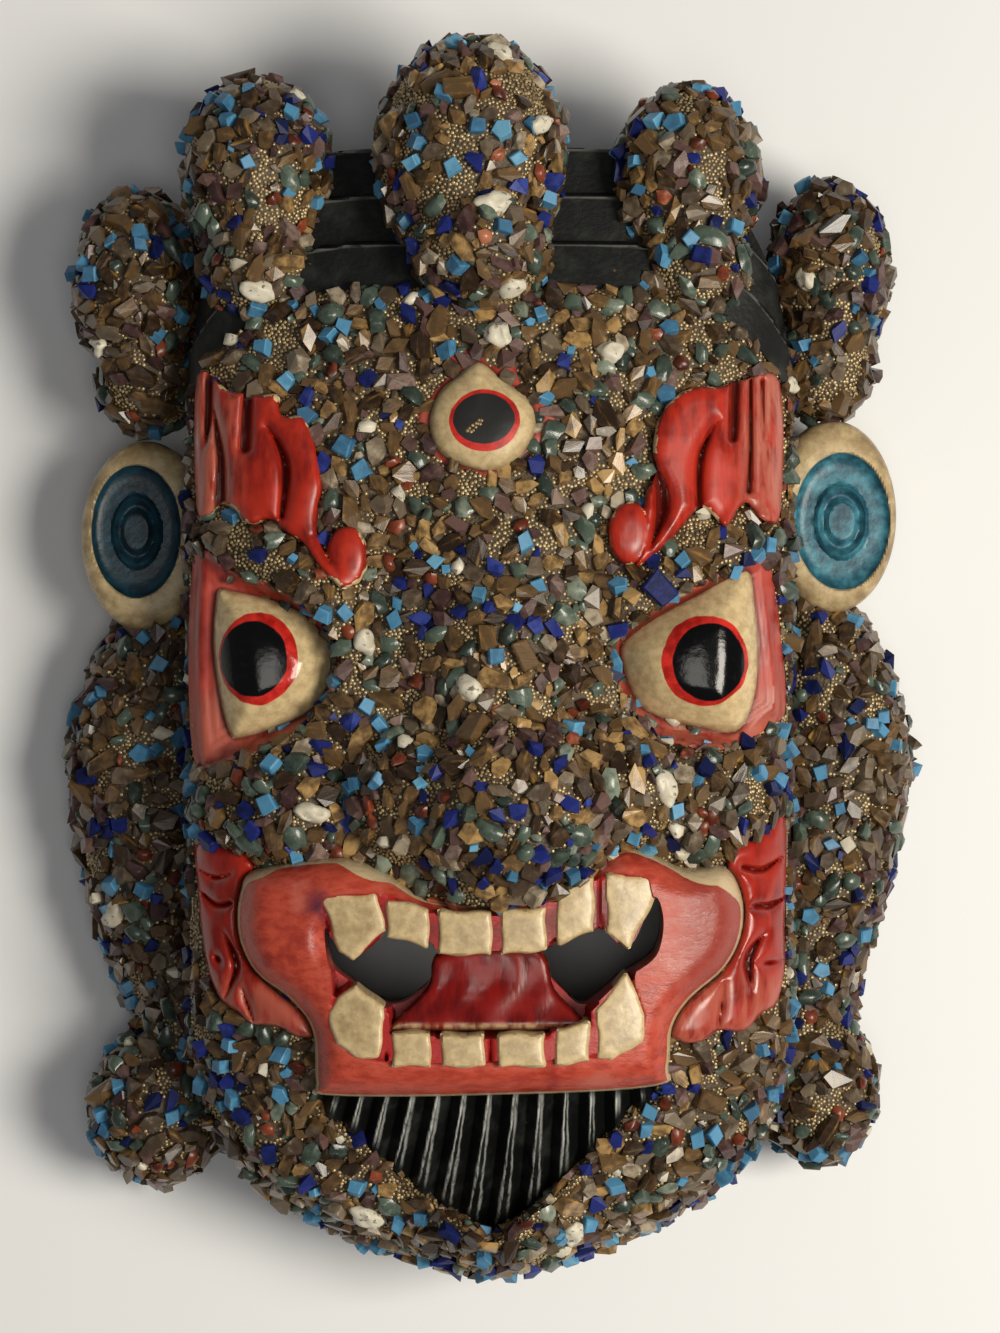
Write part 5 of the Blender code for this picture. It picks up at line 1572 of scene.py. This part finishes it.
def make_tongue(finish):
    inside = within(TONGUE)

    def top(x, y):
        ripple = TONGUE_RIPPLE * np.sin(x / RIPPLE_LENGTH + 2 * np.sin(y / RIPPLE_DRIFT))
        crown = TONGUE_CROWN * hump(np.abs(x - TONGUE_MIDDLE), TONGUE_HALF_WIDTH)
        edge = TONGUE_BASE * rounded(inside(x, y), TONGUE_ROUNDING)
        return along(TONGUE_HEIGHT, y) + edge + crown + ripple

    dust_top, dust_width = TONGUE_DUST
    relief(
        "tongue", inside, box_of(TONGUE), 0.7,
        top, flat_at(MOUTH_FLOOR - TONGUE_ROOT), finish, "red_lacquer",
        edge=lambda x, y: inside(x, y) + TONGUE_FOLD,
        # Painted shade along the tongue's edge
        fold=lambda x, y: np.clip(inside(x, y) / TONGUE_FOLD, 0, 1),
        dust=lambda x, y: soft_step(dust_top - y, dust_width),
    )


def make_tooth(number, outline, finish):
    def inside(x, y):
        cut_x = x + TOOTH_WOBBLE * np.sin(y / WOBBLE_LENGTH + number)
        cut_y = y + TOOTH_WOBBLE * np.sin(x / WOBBLE_LENGTH + number * 2)
        return depth_inside(cut_x, cut_y, outline, smooth=False) + TOOTH_GROWTH

    def top(x, y):
        arch = TOOTH_HEIGHT - TOOTH_ARCH * x ** 2
        edge = TOOTH_EDGE * (1 - rounded(inside(x, y), TOOTH_ROUNDING))
        return arch - edge - TOOTH_CROWN * (1 - rounded(inside(x, y), TOOTH_CROWN_WIDTH))

    relief(
        f"tooth_{number:02d}", inside, corners_of(outline), 0.5,
        top, flat_at(MOUTH_FLOOR - TOOTH_ROOT), finish, "cream_paint", edge=inside,
    )


def make_side_flame(side, finish):
    inside = within(SIDE_FLAMES[side])

    def folds(x, y):
        beside_lips = np.minimum(inside(x, y), LIP_SEAM - depth_inside(x, y, LIPS))
        return between_folds(x, y, beside_lips, FLAME_FOLDS)

    relief(
        f"side_flame_{SIDES[side]}", lambda x, y: inside(x, y) + ragged(x, y),
        box_of(SIDE_FLAMES[side]), 0.6,
        lambda x, y: vault(x, y) + FLAME_BASE + lobes(folds(x, y), FLAME_RISE, FLAME_ROUNDING),
        seat_of(vault), finish, "red_lacquer",
        edge=lambda x, y: inside(x, y) + FLAME_EDGE + SIDE_PAINT * by_side(x),
        # Painted shade within the flame's folds
        fold=lambda x, y: fold_shade(folds(x, y)),
        # Paler pink over the lower part of the flame: dust and a painted highlight
        dust=lambda x, y: FLAME_DUST_AND_HIGHLIGHT * soft_step(FLAME_DUST_AND_HIGHLIGHT_TOP - y, FLAME_DUST_AND_HIGHLIGHT_WIDTH),
    )


def make_beard(finish):
    def place(x, y):
        """Place across the ridges, a whole number at each crest; they lean more to the left."""
        down = BEARD_TOP - y
        return (x + (BEARD_SLANT - BEARD_SPLAY * x) * down) / BEARD_PITCH

    def top(x, y):
        crest = np.abs(place(x, y) - np.round(place(x, y))) * BEARD_PITCH
        ridge = np.clip((BEARD_PITCH / 2 - crest) / (BEARD_PITCH / 2 - CREST_WIDTH), 0, 1)
        return vault(x, y) - BEARD_DEPTH + BEARD_RIDGE * ridge + BEARD_BASE

    relief(
        "beard", within(BEARD), box_of(BEARD), 0.6,
        top, lambda x, y: vault(x, y) - BEARD_DEPTH - SEAT - SKIRT, finish, "black_paint",
        crease=lambda x, y: (place(x, y) % 1 - 0.5) * BEARD_PITCH,
        place=place, edge=within(BEARD),
        strand=lambda x, y: STRAND_GAP + STRAND_SPLAY * np.maximum(BEARD_TOP - y, 0),
    )


# Big stones

STONE_ROOT, STONE_PROUD, STONE_WEAR, STONE_CUT = 1.2, 4.2, 0.5, 1.3
WEAR_SIZE, CUT_SIZE, CUT_EDGE, MERGED, STONE_SHADES = 3.0, 2.3, 0.45, 0.01, (0.15, 0.65)
CUT_KINDS = ("tiger_eye", "lapis", "turquoise")
STONE_SHRINK = {"tiger_eye": 0.85, "lapis": 0.85, "turquoise": 0.75, "aventurine": 0.9}
STONE_SLOTS = {
    "howlite_nugget": "howlite", "tiger_eye_chip": "tiger_eye", "lapis_chip": "lapis",
    "turquoise_chip": "turquoise", "aventurine_chip": "aventurine", "carnelian_chip": "carnelian",
}


def make_big_stone(name, wood_tree, finishes, dice):
    """A set stone of the solid model with worn edges, let into the paste; with its own shade."""
    kind = STONE_SLOTS[name[:-3]]
    cut = kind in CUT_KINDS
    stone = bmesh.new()
    stone.from_mesh(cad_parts[name].data)
    bmesh.ops.remove_doubles(stone, verts=stone.verts, dist=MERGED * MM)
    to_layout = Matrix.Translation((-SHIFT.x, -SHIFT.y, 0)) @ Matrix.Scale(1 / MM, 4)
    bmesh.ops.transform(stone, matrix=to_layout, verts=stone.verts)
    middle = sum((vertex.co for vertex in stone.verts), Vector()) / len(stone.verts)
    for vertex in stone.verts:
        shift = noise.noise_vector(vertex.co / CUT_SIZE) * STONE_CUT
        vertex.co = middle + (vertex.co - middle) * STONE_SHRINK.get(kind, 1) + shift
    if cut:
        bmesh.ops.join_triangles(
            stone, faces=list(stone.faces), angle_face_threshold=0.3, angle_shape_threshold=3.1)
        bmesh.ops.bevel(
            stone, geom=list(stone.edges), offset=CUT_EDGE, segments=1, affect="EDGES")
    else:
        bmesh.ops.subdivide_edges(
            stone, edges=list(stone.edges), cuts=1, use_grid_fill=True, smooth=0.5)
    seat = wood_tree.find_nearest(middle)[0]
    up = (middle - seat).normalized()
    heights = [(vertex.co - seat).dot(up) for vertex in stone.verts]
    low, high = min(heights), max(heights)
    stretch = (min(high, STONE_PROUD) + STONE_ROOT) / (high - low)
    for vertex, height in zip(stone.verts, heights):
        rough = noise.noise(vertex.co / WEAR_SIZE) * STONE_WEAR
        rise = (height - low) * stretch - STONE_ROOT - height
        vertex.co += up * rise + (vertex.co - middle).normalized() * rough
    mesh = bpy.data.meshes.new(name + "_stone")
    stone.to_mesh(mesh)
    stone.free()
    if cut:
        mesh.shade_flat()
    else:
        mesh.shade_smooth()
    places = mesh_places(mesh)
    add_measure(mesh, "shade", np.full(len(places), dice.uniform(*STONE_SHADES)))
    add_measure(mesh, "grain", (places + dice.uniform(-GRAIN_REACH, GRAIN_REACH, 3)) * MM)
    add_piece(name + "_stone", mesh, finishes[kind], kind, replaced=(name,))


# Floor, light and camera, in metres apart from the size of the floor's clouds

FLOOR_CLOUDS, FLOOR_HALF = 120, 3.0
KEY_PLACE, KEY_SIZE, KEY_POWER, KEY_COLOUR = (0.72, -0.10, 1.12), 0.5, 16.8, (1.0, 0.94, 0.82)
FRONT_PLACE, FRONT_SIZE, FRONT_POWER = (0.05, -0.20, 1.7), 0.5, 3.2
FRONT_COLOUR = (1.0, 0.97, 0.90)
SKY_COLOUR, SKY_STRENGTH = (0.95, 0.96, 1.0, 1), 0.12


def make_stage():
    paint = Paint("pale_floor", (0.86, 0.87, 0.89), Roughness=0.9)
    tone = paint.mix(paint.spots(FLOOR_CLOUDS), (0.85, 0.86, 0.88), (0.87, 0.88, 0.90))
    mesh = bpy.data.meshes.new("floor")
    corners = [(x * FLOOR_HALF, y * FLOOR_HALF, 0) for x, y in ((-1, -1), (1, -1), (1, 1), (-1, 1))]
    mesh.from_pydata(corners, [], [(0, 1, 2, 3)])
    mesh.materials.append(paint.done(tone))
    floor = bpy.data.objects.new("floor", mesh)
    floor.location.z = cad_box[0][2]
    bpy.context.scene.collection.objects.link(floor)


def add_light(name, place, size, power, colour):
    lamp = bpy.data.lights.new(name, "AREA")
    lamp.size = size
    lamp.energy = power
    lamp.color = colour
    light = bpy.data.objects.new(name, lamp)
    light.location = place
    light.rotation_euler = (-Vector(place)).to_track_quat("-Z", "Y").to_euler()
    bpy.context.scene.collection.objects.link(light)


def make_light():
    add_light("key", KEY_PLACE, KEY_SIZE, KEY_POWER, KEY_COLOUR)
    add_light("front", FRONT_PLACE, FRONT_SIZE, FRONT_POWER, FRONT_COLOUR)
    world = bpy.data.worlds.new("studio")
    world.use_nodes = True
    sky = world.node_tree.nodes["Background"]
    sky.inputs["Color"].default_value = SKY_COLOUR
    sky.inputs["Strength"].default_value = SKY_STRENGTH
    bpy.context.scene.world = world
    bpy.context.scene.view_settings.view_transform = "Standard"


def make_camera():
    lens = bpy.data.cameras.new("camera")
    lens.sensor_fit = "VERTICAL"
    lens.angle = 2 * math.atan(FRAME_HEIGHT / 2 / (CAMERA_HEIGHT - FRAME_LEVEL))
    camera = bpy.data.objects.new("camera", lens)
    camera.location = Vector((CAMERA_X + SHIFT.x, CAMERA_Y + SHIFT.y, CAMERA_HEIGHT)) * MM
    bpy.context.scene.collection.objects.link(camera)
    bpy.context.scene.camera = camera


# The mask

dice = np.random.default_rng(SEED)
noise.seed_set(SEED)
make_camera()
make_light()
make_stage()

wood = wood_finish()
lacquer = lacquer_finish("brow_lacquer")
lid_lacquer = lacquer_finish("lid_lacquer", (0.45, 0.06, 0.04), (0.26, 0.022, 0.015), gloss=0.35)
flame_lacquer = lacquer_finish("flame_lacquer", (0.37, 0.018, 0.007), gloss=0.2)
stones = {name: stone_finish(name) for name in STONE_PAINTS}

ground = make_ground(wood)
triangles = crust_triangles(ground)
chip_places, chip_radii = make_chips(triangles, stones, dice)
make_beads(triangles, chip_places, chip_radii, bead_finish(), dice)
faces = [list(face.vertices) for face in ground.polygons]
wood_tree = BVHTree.FromPolygons(mesh_places(ground).tolist(), faces)
add_piece("wooden_body", ground, wood, "carved_wood")

eye_paint = eye_finish("eye_paint")
for side in (0, 1):
    make_brow(side, lacquer)
    make_eye(side, lid_lacquer, eye_paint)
    make_side_flame(side, flame_lacquer)
third_paint = eye_finish("third_eye_paint", gloss=0.45, black=(0.018, 0.018, 0.018))
make_third_eye(lid_lacquer, third_paint)
# Painted shade: the left ear's blues are darker than the right ear's
make_ear(0, ear_finish("left_ear_shaded_paint", DARK_BLUE, DEEP_BLUE))
make_ear(1, ear_finish("right_ear_paint", DEEP_BLUE, BLUE))
make_headband(black_finish("headband_paint", 0.5, tier_wear, (0.09, 0.09, 0.08)))
make_mouth(lip_finish())
tongue_reds = (0.22, 0.006, 0.004), (0.09, 0.003, 0.003)
make_tongue(lacquer_finish("tongue_lacquer", *tongue_reds, dust=TAN, gloss=0.13))
tooth_paint = tooth_finish()
for number, outline in enumerate(TEETH, 1):
    make_tooth(number, outline, tooth_paint)
make_beard(black_finish("beard_paint", 0.36, strand_wear, (0.46, 0.47, 0.44)))
for name in sorted(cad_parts):
    if name != "carved_mask":
        make_big_stone(name, wood_tree, stones, dice)
